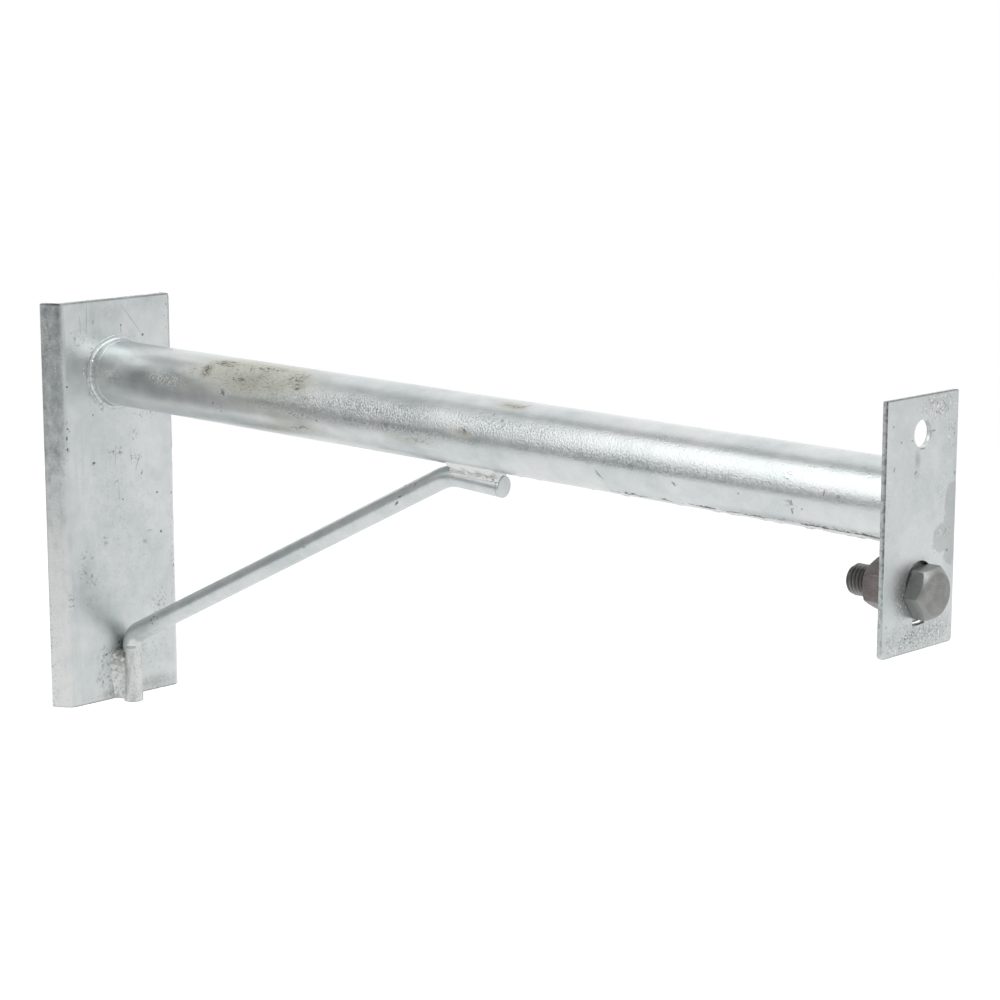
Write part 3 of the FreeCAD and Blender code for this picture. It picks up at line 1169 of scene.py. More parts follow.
def foot_half(side):
    shape = swept_bead(foot_section(side), Vector((0, 0, FOOT_WELD_LOW)),
                       (0, 0, FOOT_WELD_LENGTH))
    for point in shape.verts:
        place = point.co / mm
        past_bar = (place.y - BAR_Y) * side - BAR_RADIUS
        if past_bar > 0:
            point.co.y -= side * past_bar * (1 - foot_width(place)) * mm
    lumpy(shape, 0.45, 2.8, 10.0 + 7.0 * side,
          lambda place: soft_step(abs(place.y - BAR_Y), 5.0, 8.0)
          * soft_step(place.x, PLATE_THICKNESS - 0.1, PLATE_THICKNESS + 0.8))
    return shape


make_piece("foot_weld_bead", make_bead(foot_half), "brace_foot_weld")

TOP_WELD_START, TOP_WELD_END = 368.5, 409.4
TOP_UNDERCUT = -26.2
TOP_WIDTHS = {NEAR: 12.0, FAR: 8.5}
FAR_HALF_SHORTER = 5.0


def top_section(side):
    """Section of the top bead seen along the arm: a pass on the pipe, and one on the bar."""
    width = TOP_WIDTHS[side]
    pipe_z = -math.sqrt(PIPE_RADIUS ** 2 - width ** 2)
    rows = bulge((side * width - BAR_Y, pipe_z + 0.3), (side * 8.5, TOP_UNDERCUT + 0.6),
                 0.5 * side, 7)
    rows += [Vector((side * 7.9, TOP_UNDERCUT))]
    rows += bulge((side * 8.2, TOP_UNDERCUT - 0.5), (side * 6.9, LEG_Z + 1.6), 0.7 * side, 7)
    rows += [Vector((side * 3.6, LEG_Z + 4.6)), Vector((-side * 0.5, LEG_Z + 6.0)),
             Vector((-side * 0.5, -23.4))]
    return [(0.0, BAR_Y + y, z) for y, z in rows]


def scallop(x):
    """How far the upper pass sags at this place along the arm."""
    return 1.5 * abs(math.sin((x + 2.5 * noise.noise(Vector((x / 7, 5.0, 0.0)))) / 4.5)) - 0.7


def top_half(side):
    length = TOP_WELD_END - TOP_WELD_START - (FAR_HALF_SHORTER if side == FAR else 0.0)
    shape = swept_bead(top_section(side), Vector((TOP_WELD_START, 0, 0)), (length, 0, 0))
    for point in shape.verts:
        above_bar = soft_step(point.co.z / mm, LEG_Z + 2.5, TOP_UNDERCUT)
        on_pipe = soft_step(point.co.z / mm, -23.0, TOP_UNDERCUT + 1)
        point.co.z -= scallop(point.co.x / mm) * above_bar * on_pipe * mm
    slant_end(shape)
    lumpy(shape, 0.55, 2.3, 15.0 + 8.0 * side,
          lambda place: soft_step(abs(place.y - BAR_Y), 3.5, 6.5)
          * (1 - 0.75 * soft_step(place.z, TOP_UNDERCUT, TOP_UNDERCUT + 1)))
    return shape


make_piece("top_weld_bead", make_bead(top_half), "brace_top_weld")


# %% [markdown]
# Hot-dip galvanising leaves a skin of zinc: satin, a little blue-green, clouded where it
# cooled unevenly, with a fine grain. All the zinc finishes share that skin. What differs from
# place to place, such as soot from a weld or a pale bloom, is first worked out for each point
# of a mesh and stored on it, because soft patches need no finer detail than the points give.
# The patterns themselves come from the nodes' noise, on a board that knows the place.

# %% Zinc skin
# Colours of the metal and of what lies on it. The shade and bloom colours also serve as
# painted shade and painted light.
DARK_ZINC = (0.504, 0.548, 0.550, 1.0)
PALE_ZINC = (0.682, 0.700, 0.697, 1.0)
DULL_ZINC = (0.61, 0.622, 0.555, 1.0)
SHADE = (0.085, 0.109, 0.110, 1.0)
BROWN = (0.31, 0.285, 0.215, 1.0)
SOOT = (0.045, 0.047, 0.046, 1.0)
BLOOM_AND_LIGHT = (0.86, 0.87, 0.85, 1.0)


class Skin(Board):
    """A board for a finish, with the patterns that finishes share. Waves are in millimetres."""

    def __init__(self, owner):
        super().__init__(owner)
        self.place = self.node("TexCoord", None, None, "Object")

    def painted(self, name):
        """A value stored on the points of the mesh."""
        return self.node("Attribute", {"attribute_name": name}, None, "Fac")

    def stretched(self, amounts):
        """The place with each axis multiplied, to draw a pattern out along an axis."""
        return self.node("VectorMath", {"operation": "MULTIPLY"}, {0: self.place, 1: amounts})

    def shaken(self, amount):
        """The place, moved about by up to that many millimetres."""
        inputs = {"Vector": self.place, "Scale": 900.0, "Detail": 1.0}
        noise_colour = self.node("TexNoise", None, inputs, "Color")
        centred = self.node("VectorMath", {"operation": "SUBTRACT"},
                            {0: noise_colour, 1: (0.5, 0.5, 0.5)})
        return self.node("VectorMath", {"operation": "MULTIPLY_ADD"},
                         {0: centred, 1: (2 * amount * mm,) * 3, 2: self.place})

    def cloud(self, wave, detail=3.0, place=None):
        """A smooth noise between 0 and 1."""
        inputs = {"Vector": place or self.place, "Scale": 1000 / wave, "Detail": detail}
        return self.node("TexNoise", None, inputs)

    def ripple(self, wave, detail=3.0, place=None):
        """A smooth noise about 0."""
        return self.cloud(wave, detail, place) - 0.5

    def flecks(self, wave, level, place=None):
        """Small sharp spots: the tops of a noise."""
        return self.smooth(self.cloud(wave, 1.5, place), level, level + 0.05)

    def squiggles(self, wave, width=0.03, place=None):
        """Thin winding lines: where a noise passes through its middle value."""
        away = self.math("ABSOLUTE", self.ripple(wave, 1.0, place))
        return self.smooth(away, width, 0.2 * width)


def paint(node, **rules):
    """Stores each rule(x, y, z), with the place in millimetres, on every point of a piece."""
    mesh = pieces[node].data
    places = [point.co / mm for point in mesh.vertices]
    for name, rule in rules.items():
        layer = mesh.attributes.new(name, "FLOAT", "POINT")
        layer.data.foreach_set("value", [rule(*place) for place in places])


def zones(rows, x, y, combine=max, power=1.0):
    """Combines ellipses on a flat face or an unrolled one. Each has its level in the middle
    and 0 at its rim. A row: centre, half lengths, level, and degrees turned if any."""
    def level_at(centre_x, centre_y, half_x, half_y, level, turn=0.0):
        across, up = x - centre_x, y - centre_y
        if max(abs(across), abs(up)) > max(half_x, half_y):
            return 0.0
        cos, sin = math.cos(math.radians(turn)), math.sin(math.radians(turn))
        away = math.hypot((across * cos + up * sin) / half_x, (up * cos - across * sin) / half_y)
        return level * (1.0 - soft_step(away, 0.0, 1.0)) ** power

    return combine(level_at(*row) for row in rows)


print("zinc skin ready")


# %% [markdown]
# Single marks, such as a scratch or a drip, are placed one by one. Each is an ellipsoid laid
# on the surface: one Mapping node moves it to its centre, turns it and scales it to a unit
# ball, so its edge is where the length of the vector reaches one. A little noise is added to
# the place first, so that no mark has a clean outline.

# %% Single marks
MARK_DEPTH = 4.0


def laid_on(normal, slant):
    """Turns an ellipsoid's third axis to the surface's normal, and its first by a slant."""
    normal = Vector(normal).normalized()
    level = Vector((1, 0, 0)) if abs(normal.x) < 0.7 else Vector((0, 1, 0))
    first = (level - normal * level.dot(normal)).normalized()
    second = normal.cross(first)
    turned = first * math.cos(slant) + second * math.sin(slant)
    basis = Matrix((turned, normal.cross(turned), normal)).transposed()
    return basis.to_euler()


def marks(board, rows, shake=0.0):
    """1 inside any mark. A row: centre, normal, slant in degrees, half length, half width."""
    place = board.shaken(shake) if shake else board.place
    mask = 0.0
    for centre, normal, slant, length, width in rows:
        local = board.node("Mapping", {"vector_type": "TEXTURE"}, {
            "Vector": place, "Location": Vector(centre) * mm,
            "Rotation": laid_on(normal, math.radians(slant)),
            "Scale": Vector((length, width, MARK_DEPTH)) * mm})
        away = board.node("VectorMath", {"operation": "LENGTH"}, {0: local}, "Value")
        mask = board.greater(mask, board.smooth(away, 1.15, 0.65))
    return mask


def on_face(x, rows):
    """Marks on a plate's front, which lies at x: y, z, slant, half length, half width."""
    return [((x, y, z), (1, 0, 0), *rest) for y, z, *rest in rows]


def on_pipe(rows):
    """Marks on the pipe: place along it, degrees above level on the near side, and the rest."""
    laid = []
    for x, rise, *rest in rows:
        normal = (0, -math.cos(math.radians(rise)), math.sin(math.radians(rise)))
        laid.append(((x, PIPE_RADIUS * normal[1], PIPE_RADIUS * normal[2]), normal, *rest))
    return laid


print("marks ready")


# %% [markdown]
# A finish ends the same way each time: zinc, darkened where soot or dirt lies, paled where
# zinc has bloomed, and roughened by both. Painted shade darkens it and painted light pales it
# as well. Dirt is no metal, so it also takes the metal away.

# %% Zinc finish
def zinc_finish(board, soot, bloom_and_light, shade=0.0, matt=0.0, relief=0.0, brown=0.0, dull=0.0):
    """Ends a zinc finish. All but relief are shares from 0 to 1; dull paints the zinc matt.
    The shade and bloom shares also carry painted shade and painted light.
    """
    broad = board.cloud(45)
    patches = board.cloud(9)
    grain = board.cloud(1.3, 2.0)
    tone = broad * 0.5 + patches * 0.35 + grain * 0.15
    colour = board.blend(board.smooth(tone, 0.24, 0.74), DARK_ZINC, PALE_ZINC)
    for share, tint in ((shade, SHADE), (dull, DULL_ZINC), (brown, BROWN), (bloom_and_light, BLOOM_AND_LIGHT),
                        (soot, SOOT)):
        colour = board.blend(share, colour, tint)
    roughness = 0.28 + 0.1 * patches + matt * 0.18 + soot * 0.2 + dull * 0.15
    metal = 1 - 0.6 * board.greater(bloom_and_light * 0.6, soot, dull)
    height = grain * 0.6 + relief
    bump = board.node("Bump", None, {"Strength": 0.4, "Distance": 0.0004, "Height": height})
    board.surface("BsdfPrincipled", {"Base Color": colour, "Roughness": roughness,
                                     "Metallic": metal, "Normal": bump})


def finish(name, *nodes):
    """The board of a new material for these pieces."""
    return new_board(name, *(pieces[node] for node in nodes), kind=Skin)


print("zinc finish ready")


# %% [markdown]
# The pole plate tells how it was handled. Its sheared edges are dark, its folded wing is
# mottled, with painted shade at its top and painted light below its middle, soot from the weld
# surrounds the brace's foot, and small pits, a scratch and a drip lie on the flat. Light is
# painted on the flat around the ring and above the foot. Faint streaks run down it, the way it
# was drawn from the bath.

# %% Pole plate finish
# Points with a greater x lie on the front of the plate.
PLATE_MIDDLE = 3.0
# Positive rows darken the flat. Negative rows are painted light, around the ring and over the
# bar's shadow above the foot.
PLATE_GRIME_AND_LIGHT = [
    (-6, -206, 5.5, 8, 0.15, 20), (-15, -246, 14, 7, 0.16), (28, -244, 36, 9, 0.17),
    (-42, 20, 12, 10, 0.12), (-20, 2, 22, 14, -0.3), (0, -22, 28, 9, -0.3),
    (10, -198, 18, 12, -0.2), (-30, 22, 14, 9, -0.45, -10), (-14, -22, 14, 9, -0.45, 40),
    (0, -243, 60, 12, 0.08), (38, -22, 16, 12, 0.08), (32, 50, 22, 12, 0.06),
    (-6, 46, 24, 12, 0.1), (-34, -150, 9, 26, 0.1, -15),
]
PLATE_SPECKS = [
    (-47, -46, 3, 22, 1.0), (-34, -141, 8, 17, 1.0, -20), (-29, -155, 7, 10, 1.0),
    (-47.5, -169, 5, 9, 0.9), (-31, -172, 6, 7, 1.0), (-14, -216, 14, 13, 1.3),
    (-18, -232, 12, 10, 1.0), (-7, -227, 9, 10, 1.1), (-17, -127, 6, 6, 0.9),
    (14, -49, 4, 7, 0.9), (24, -34.5, 16, 2.2, 1.3), (34, -181, 9, 15, 0.9),
    (48, -150, 3, 70, 0.7), (-23, 0, 6, 32, 1.0), (-35, 30, 10, 12, 0.7), (46, 35, 4, 14, 0.8),
    (0, -246, 50, 5, 0.8), (-2, -60, 12, 5, 1.2), (14, -65, 9, 5, 1.2, 10), (20, -79, 3, 4, 1.0),
    (-24, -66, 3, 3, 1.0), (-4, -82, 6, 3, 0.9), (0, -120, 52, 130, 0.22),
    (25, -215, 22, 30, 0.38),
]
PLATE_STREAKS = [
    (-38, -95, 16, 75, 1.0), (-8, -75, 14, 45, 0.8), (-43, 30, 10, 40, 0.5),
    (-40, -200, 14, 60, 0.6), (-20, 42, 14, 16, 0.5),
]


def on_wing(x, y, z):
    """1 on the folded wings, past the bend."""
    return soft_step(abs(y), WEB_HALF_WIDTH - 2.5, WEB_HALF_WIDTH + 0.5)


def wing_shade_and_light(y, z):
    """How much darker a wing is than the flat: painted shade at its top, a dark wedge by
    the fold, and painted light below its middle.
    """
    by_fold = 1.0 - soft_step(abs(y), WEB_HALF_WIDTH + 0.8, WEB_HALF_WIDTH + 3.2)
    wedge = 1.0 - soft_step(abs(y) - WEB_HALF_WIDTH, 0.5, 0.5 + 0.06 * max(5.0, z))
    top = soft_step(z, 5, 60)
    upper = soft_step(z, -115, -35)
    band = by_fold * soft_step(z, -60, 25)
    dark = 0.33 * upper + 0.26 * band + 0.04 * top + 0.24 * top * wedge
    return dark - 0.75 * (1 - soft_step(z, -155, -65))


# Grime and painted light on the flat, and painted shade and light on the wings.
def plate_grime(x, y, z):
    on_flat = zones(PLATE_GRIME_AND_LIGHT, y, z, sum) if x > PLATE_MIDDLE else 0.0
    return on_flat + on_wing(x, y, z) * wing_shade_and_light(y, z)


def plate_specks(x, y, z):
    if x > PLATE_MIDDLE:
        return zones(PLATE_SPECKS, y, z, power=0.5)
    upper_edge = 0.45 * soft_step(abs(y), 53.5, 56) * soft_step(z, 5, 15)
    lower_end = 0.5 * soft_step(abs(y), 56, 58) * (1 - soft_step(z, -200, -150))
    return 0.15 + lower_end + upper_edge


def plate_streaks(x, y, z):
    return 0.25 + (zones(PLATE_STREAKS, y, z) if x > PLATE_MIDDLE else 0.0)


def plate_cut(x, y, z):
    """The sheared upper and lower edges, and a little of the face beside them."""
    return 1 - soft_step(min(PLATE_HIGH - z, z - PLATE_LOW), 0.4, 1.3)


paint("pole_plate", grime=plate_grime, specks=plate_specks, streaks=plate_streaks,
      cut=plate_cut, wing=on_wing)
WEB_DOTS = on_face(PLATE_THICKNESS, [
    (4.3, 34.8, 0, 0.8, 0.9), (24.4, 26.0, 0, 1.1, 1.0), (-46.5, -6.3, 0, 1.0, 0.9),
    (-24.0, -66.0, 5, 1.6, 0.9), (-47.2, -37.5, 80, 1.0, 0.6), (-47.8, -44.5, 90, 1.8, 0.8),
    (-47.4, -53.0, 90, 1.5, 0.9), (37.4, -126.6, 90, 1.2, 1.0), (34.5, -95.9, 0, 0.9, 0.9),
    (48.6, -98.0, 90, 1.2, 0.6), (49.2, -155.0, 90, 1.4, 0.7), (47.4, 46.9, 90, 1.0, 0.6),
    (-17.5, -214.0, 20, 1.5, 0.8), (-5.5, -206.5, 50, 1.8, 1.0),
    (-23.6, -29.8, 50, 1.0, 0.6), (2.0, -97.0, 0, 0.7, 0.7), (-9.5, -246.5, 0, 1.5, 1.5),
])
WEB_FAINT = on_face(PLATE_THICKNESS, [
    (-21.2, 39.4, 80, 2.2, 1.0), (-20.8, 28.0, 0, 0.8, 0.8), (46.9, 29.5, 70, 1.5, 0.7),
    (-17.9, -23.7, 60, 1.6, 0.7), (14.0, -46.5, 60, 1.6, 0.7), (26.9, -124.3, 5, 2.6, 0.7),
    (36.1, -139.7, 0, 0.7, 0.7), (20.6, -142.0, 0, 0.7, 0.5), (-35.0, -136.0, 0, 1.6, 1.0),
    (-29.0, -152.0, 70, 3.0, 1.0), (30.5, -38.0, 0, 0.7, 0.7), (16.4, 25.5, 0, 0.7, 0.7),
    (21.8, -132.1, 0, 2.3, 1.9), (20.6, -79.3, 70, 1.6, 0.8), (-2.2, -81.7, 90, 1.8, 0.5),
    (-7.0, -59.7, 10, 1.8, 0.6), (17.2, -68.1, 30, 1.6, 0.6), (-15.0, -128.0, 0, 2.2, 1.6),
    (-21.0, -221.6, 0, 1.6, 1.0), (-14.8, -234.4, 0, 1.4, 1.0), (-24.0, -232.9, 0, 1.4, 1.0),
])
WEB_SCRATCHES = on_face(PLATE_THICKNESS, [
    (13.9, 39.0, -51.5, 16.8, 0.28), (4.3, 31.8, 90, 3.6, 0.4), (-27.2, 42.0, 88, 12.0, 0.35),
    (-33.0, 38.0, 92, 8.0, 0.3), (17.0, -70.0, 68, 8.0, 0.35), (-1.5, -90.0, 90, 9.0, 0.35),
    (-4.0, -64.0, 85, 7.0, 0.3),
])


def finish_pole_plate():
    board = finish("plate_zinc", "pole_plate")
    grime, specks, cut, wing = map(board.painted, ("grime", "specks", "cut", "wing"))
    fine = board.flecks(1.8, 0.58) * specks
    lines = board.squiggles(4.0) * board.smooth(specks, 0.45, 1.0)
    dots = marks(board, WEB_DOTS, shake=0.6)
    faint = board.greater(marks(board, WEB_FAINT, shake=0.6), lines)
    scratches = marks(board, WEB_SCRATCHES, shake=0.15)
    streaks = board.ripple(4.0, place=board.stretched((1.0, 1.0, 0.05)))
    grain = board.ripple(1.7, 2.5)
    mottle = board.ripple(6.0, 1.5, board.stretched((1.0, 1.0, 0.6)))
    # On the flat, dark is grime and pale is painted light; on the wings both are painted shade and
    # light.
    dark = board.greater(grime, 0.0)
    pale = board.greater(grime * -1.0, 0.0)
    blackening = dark * board.smooth(grain, -0.12, 0.1) * (1 - wing)
    soot = board.greater(fine * 0.45, dots * 0.75, blackening * 0.7)
    shade = dark * 0.8 + cut * (0.62 + 0.8 * mottle) + scratches * 0.4 + faint * 0.3
    shade = shade + streaks * board.painted("streaks") * 0.5 + wing * (grain * 0.4 + mottle)
    bright = board.flecks(1.1, 0.66) * (specks * 0.5 + wing * 0.6)
    bloom_and_light = board.greater(pale * 0.6, bright * 0.8)
    relief = bright * 0.5 - fine * 0.5 - scratches * 0.4 + wing * (grain + mottle)
    zinc_finish(board, soot, bloom_and_light, board.greater(shade, 0.0), matt=0.35 * dark + 0.25,
                relief=relief, brown=blackening * 0.5)


finish_pole_plate()
print("pole plate finished")


# %% [markdown]
# The pipe is bright and smooth near its outer end. Towards the pole it is duller, crossed by
# old brown stains and pale crackle, and its dark band is broken by a frost of fine crystals.
# Shade is painted along that band, and light beside the pole plate and on parts of the
# underside. Along the underside the last runs of zinc ended in a dark ragged line. For that
# line each point stores how far round the pipe it lies from it.

# %% Pipe finish
PIPE_ZONES = {
    "stain": [
        (185, 50, 90, 64, 2.0), (150, 66, 36, 30, 1.0), (428, 68, 24, 16, 0.9),
        (396, 6, 16, 9, 0.9), (110, 14, 60, 22, 0.35), (122, 36, 24, 22, 0.9),
        (200, -5, 80, 24, 0.6), (225, -32, 50, 26, 0.7), (350, -18, 36, 14, 0.5),
    ],
    "brown": [
        (152, 64, 26, 14, 1.2), (134, 44, 10, 26, 1.1), (230, 48, 18, 28, 1.0),
        (185, 44, 66, 44, 0.6), (428, 68, 20, 12, 0.9), (398, 8, 8, 8, 1.0),
        (200, 68, 30, 12, 0.9), (225, -22, 34, 16, 0.6), (210, -44, 34, 16, 0.6),
    ],
    "specks": [
        (146, 62, 24, 14, 1.6), (133, 40, 10, 24, 1.3), (190, 66, 34, 15, 1.4),
        (228, 52, 16, 32, 1.5), (170, 35, 16, 8, 1.3), (158, 8, 9, 11, 1.5),
        (238, -9, 22, 8, 1.3), (235, -32, 22, 12, 1.2), (398, 10, 9, 7, 1.0),
        (205, -48, 30, 9, 0.9), (245, 22, 14, 10, 0.9), (690, -49, 36, 6, 1.4),
        (655, -50, 14, 5, 1.2), (185, 40, 80, 60, 0.6), (118, 40, 12, 20, 0.8),
        (352, -18, 28, 9, 0.8), (430, 66, 15, 9, 1.0), (150, -20, 12, 12, 0.9),
        (664, -18, 6, 18, 1.0), (700, 4, 9, 7, 0.9), (515, -22, 8, 7, 0.8),
        (576, -16, 5, 6, 0.8), (661, 24, 5, 11, 0.9), (205, 30, 60, 40, 0.45),
    ],
    "frost": [
        (300, 20, 120, 30, 1.0), (430, 24, 100, 24, 0.9), (560, 8, 190, 18, 0.6),
        (30, 6, 16, 18, 1.0), (92, 14, 38, 18, 1.0), (250, 18, 50, 30, 0.9),
        (220, 0, 60, 24, 0.5), (330, -4, 110, 12, 0.8),
    ],
    "crackle": [
        (28, 8, 10, 10, 1.0), (92, 12, 34, 14, 1.0), (160, 5, 20, 14, 0.6),
        (240, -8, 20, 8, 0.7),
    ],
    # Painted shade, mostly along the pipe's dark band.
    "dark": [
        (66, 16, 42, 24, 0.6), (108, 18, 56, 24, 0.6), (300, 26, 80, 24, 0.3),
        (430, 36, 110, 12, 0.14), (334, 38, 70, 16, 0.34), (660, -50, 90, 15, 0.36),
        (205, 2, 70, 14, 0.4), (340, 0, 90, 9, 0.22), (200, -55, 60, 22, 0.2),
        (610, -2, 250, 7, 0.26),
    ],
    # Painted light: a wider highlight by the pole plate, and paler parts of the underside.
    "pale": [
        (388, -68, 34, 16, 1.2), (80, -38, 96, 30, 1.0), (16, 10, 18, 24, 0.9),
        (50, 54, 30, 14, 1.0), (200, -26, 50, 12, 0.8), (110, 58, 40, 10, 0.7),
    ],
}


def degrees_up(y, z):
    """Degrees above level on the near side."""
    return math.degrees(math.atan2(z, -y))


def on_near_side(rows):
    """A rule that looks up zones given by place along the pipe and degrees above level."""
    return lambda x, y, z: zones(rows, x, degrees_up(y, z))


def below_drips(x, y, z):
    """Millimetres round the pipe from the drip line, more towards the ground."""
    down = math.degrees(math.atan2(-y, -z))
    return (drip_line(x) - down) * math.radians(1) * PIPE_RADIUS


paint("arm_tube", **{name: on_near_side(rows) for name, rows in PIPE_ZONES.items()},
      drips=below_drips)
PIPE_MARKS = on_pipe([
    (143.7, 61.0, 20, 3.2, 1.0), (152.0, 70.0, 0, 3.0, 0.8), (133.0, 48.0, -50, 3.0, 0.6),
    (158.1, 8.0, -50, 3.0, 1.4), (146.3, -13.0, 0, 1.1, 0.8), (153.2, -26.6, 0, 0.9, 0.6),
    (175.0, 35.0, 10, 2.4, 0.8), (165.3, 34.5, -40, 2.0, 0.5), (176.0, 58.0, -60, 2.6, 0.5),
    (184.0, 63.0, -60, 2.4, 0.5), (196.0, 68.0, -50, 2.2, 0.5), (232.7, 34.0, 0, 2.4, 0.9),
    (226.0, 52.0, -60, 2.5, 0.5), (256.0, -12.9, 0, 0.9, 0.7), (398.8, 12.0, -30, 1.6, 0.8),
    (437.0, 70.0, 35, 6.0, 0.5), (419.6, 44.2, 90, 1.4, 0.4), (428.9, 35.0, -60, 2.6, 0.4),
    (514.5, -22.0, -50, 4.5, 0.4), (575.8, -16.6, -50, 2.0, 0.6), (665.5, -12.3, 80, 1.6, 0.4),
    (664.3, -28.4, 80, 2.4, 0.6), (672.4, -21.8, 0, 0.8, 0.7), (689.1, 7.1, 80, 2.0, 0.4),
    (625.8, -14.3, 0, 0.7, 0.6), (661.5, 17.7, 0, 1.2, 0.4),
])


def finish_pipe():
    board = finish("pipe_zinc", "arm_tube")
    stain, specks, frost = map(board.painted, ("stain", "specks", "frost"))
    slanted = board.node("Mapping", None, {"Vector": board.place, "Rotation": (0.0, 0.5, 0.0),
                                           "Scale": (0.5, 1.0, 1.2)})
    ticks = board.flecks(1.7, 0.57, slanted) * specks
    winding = board.squiggles(4.5, place=slanted) * board.smooth(specks, 0.35, 0.9)
    pale_ticks = board.flecks(1.5, 0.60, slanted) * board.smooth(stain, 0.1, 0.6)
    dots = marks(board, PIPE_MARKS, shake=0.7)
    crystals = board.cloud(1.3, 2.0)
    drifts = board.ripple(9.0, 2.0, board.stretched((0.35, 1.0, 1.0)))
    tint = board.smooth(board.cloud(14), 0.38, 0.62)
    white = board.smooth(crystals, 0.54, 0.62) * frost
    dark_frost = board.smooth(crystals, 0.48, 0.38) * frost
    crackle = board.squiggles(2.8, 0.045) * board.painted("crackle")
    x = board.parts(board.place)[0]
    ragged = board.painted("drips") + board.ripple(2.8, 2.5) * 6.0
    from_line = board.math("ABSOLUTE", ragged)
    where = board.smooth(x, 0.505, 0.53) * board.smooth(board.cloud(12, 1.0), 0.40, 0.48)
    drips = board.smooth(from_line, 1.4, 0.7) * where
    under = board.smooth(ragged, 0.2, 3.0) * board.smooth(ragged, 14.0, 7.0)
    soot = board.greater(ticks * 0.45, winding * 0.4, dots * 0.6, drips * 0.85)
    # The dark zones are painted shade.
    shade = board.painted("dark") + dark_frost * 0.38 + stain * tint * 0.10
    shade = shade + under * board.smooth(x, 0.50, 0.60) * board.flecks(2.2, 0.55) * 0.35
    shade = board.greater(shade + drifts * board.smooth(x, 0.56, 0.40) * 0.55, 0.0)
    brown = board.painted("brown") * (0.3 + 0.4 * tint)
    # The pale zones are painted light.
    bloom_and_light = board.greater(white * 0.55, crackle * 0.6, pale_ticks * 0.2,
                          board.painted("pale") * 0.5)
    matt = stain + frost * 0.35 - board.smooth(x, 0.40, 0.55) * 0.26
    relief = (crystals - 0.5) * (frost * 1.6 + 0.4) - ticks * 0.4 + crackle * 0.5
    dull = board.math("MINIMUM", stain * (0.7 + 0.25 * tint), 0.85)
    zinc_finish(board, soot, bloom_and_light, shade, matt, relief, brown, dull)


finish_pipe()
print("pipe finished")


# %% [markdown]
# The end plate is the cleanest piece. It has painted shade beside the bolt's head, a
# damp-looking patch near its far edge, small pits in its upper corner, a drip under the round
# hole, and dark sheared edges, whose front halves carry painted shade in their upper part.

# %% End plate finish
# The first row is painted shade beside the bolt's head; the second is the drip under the round
# hole.
END_SHADES = [
    (-14, -52, 13, 20, 0.16), (-4.5, 26, 3.8, 8, 0.34, 8), (0, 59, 40, 5, 0.08),
    (2, -33, 9, 5, 0.1), (0, -76, 44, 12, 0.2), (31, 22, 5, 40, 0.05), (-5, 17, 3.5, 3.5, 0.16),
    (30, -40, 12, 24, 0.06), (8, 40, 5, 9, 0.12), (14, 54, 26, 13, 0.08),
]
END_PATCHES = [
    (31, -4, 12, 20, 2.2), (21, -22, 13, 12, 2.4), (29, -30, 10, 14, 1.5),
    (29, -14, 10, 12, 2.0),
]
END_SPECKS = [
    (14, 54, 26, 13, 1.6), (27, 38, 10, 24, 0.9), (22, -19, 13, 4, 1.2), (14, -27, 4, 9, 0.9),
    (-15, -52, 12, 20, 1.5), (0, -76, 70, 14, 1.7), (0, 0, 36, 70, 0.22), (-30, 0, 4, 80, 0.45),
    (20, 10, 14, 40, 0.4),
]


def on_front(rows, combine=max, elsewhere=0.0):
    """A rule that looks up zones given by y and z on the end plate's front."""
    return lambda x, y, z: zones(rows, y, z, combine) if x >= END_FRONT - 1 else elsewhere


def beyond_height(z):
    """How far a place lies above the end plate's upper edge or below its lower one."""
    return max(z - END_TOP, END_BOTTOM - z)


def end_cut(x, y, z):
    """How much a place belongs to the sheared edges."""
    return soft_step(max(abs(y) - END_HALF_WIDTH, beyond_height(z)), -0.35, -0.1)


def end_cap(x, y, z):
    """The upper and lower of the sheared edges."""
    return soft_step(beyond_height(z), -0.8, -0.2)


paint("end_plate", shade=on_front(END_SHADES, sum), patch=on_front(END_PATCHES),
      specks=on_front(END_SPECKS, elsewhere=0.15), cut=end_cut, cap=end_cap)
END_MARKS = on_face(END_FRONT, [
    (-20.1, 37.4, 0, 0.8, 0.8), (-26.0, 22.9, 60, 1.6, 0.6), (-5.9, 18.7, 30, 1.6, 0.8),
    (10.0, 40.6, 0, 2.2, 0.5), (26.1, -30.1, 0, 1.0, 1.0), (0.0, 31.6, 0, 2.6, 0.6),
    (31.5, 14.0, 0, 0.7, 1.2), (-10.0, 37.0, 0, 0.9, 0.4), (-29.5, -66.0, 0, 0.7, 0.7),
    (30.0, 37.0, 0, 0.7, 0.7), (-27.5, 47.0, 0, 0.6, 0.6),
])


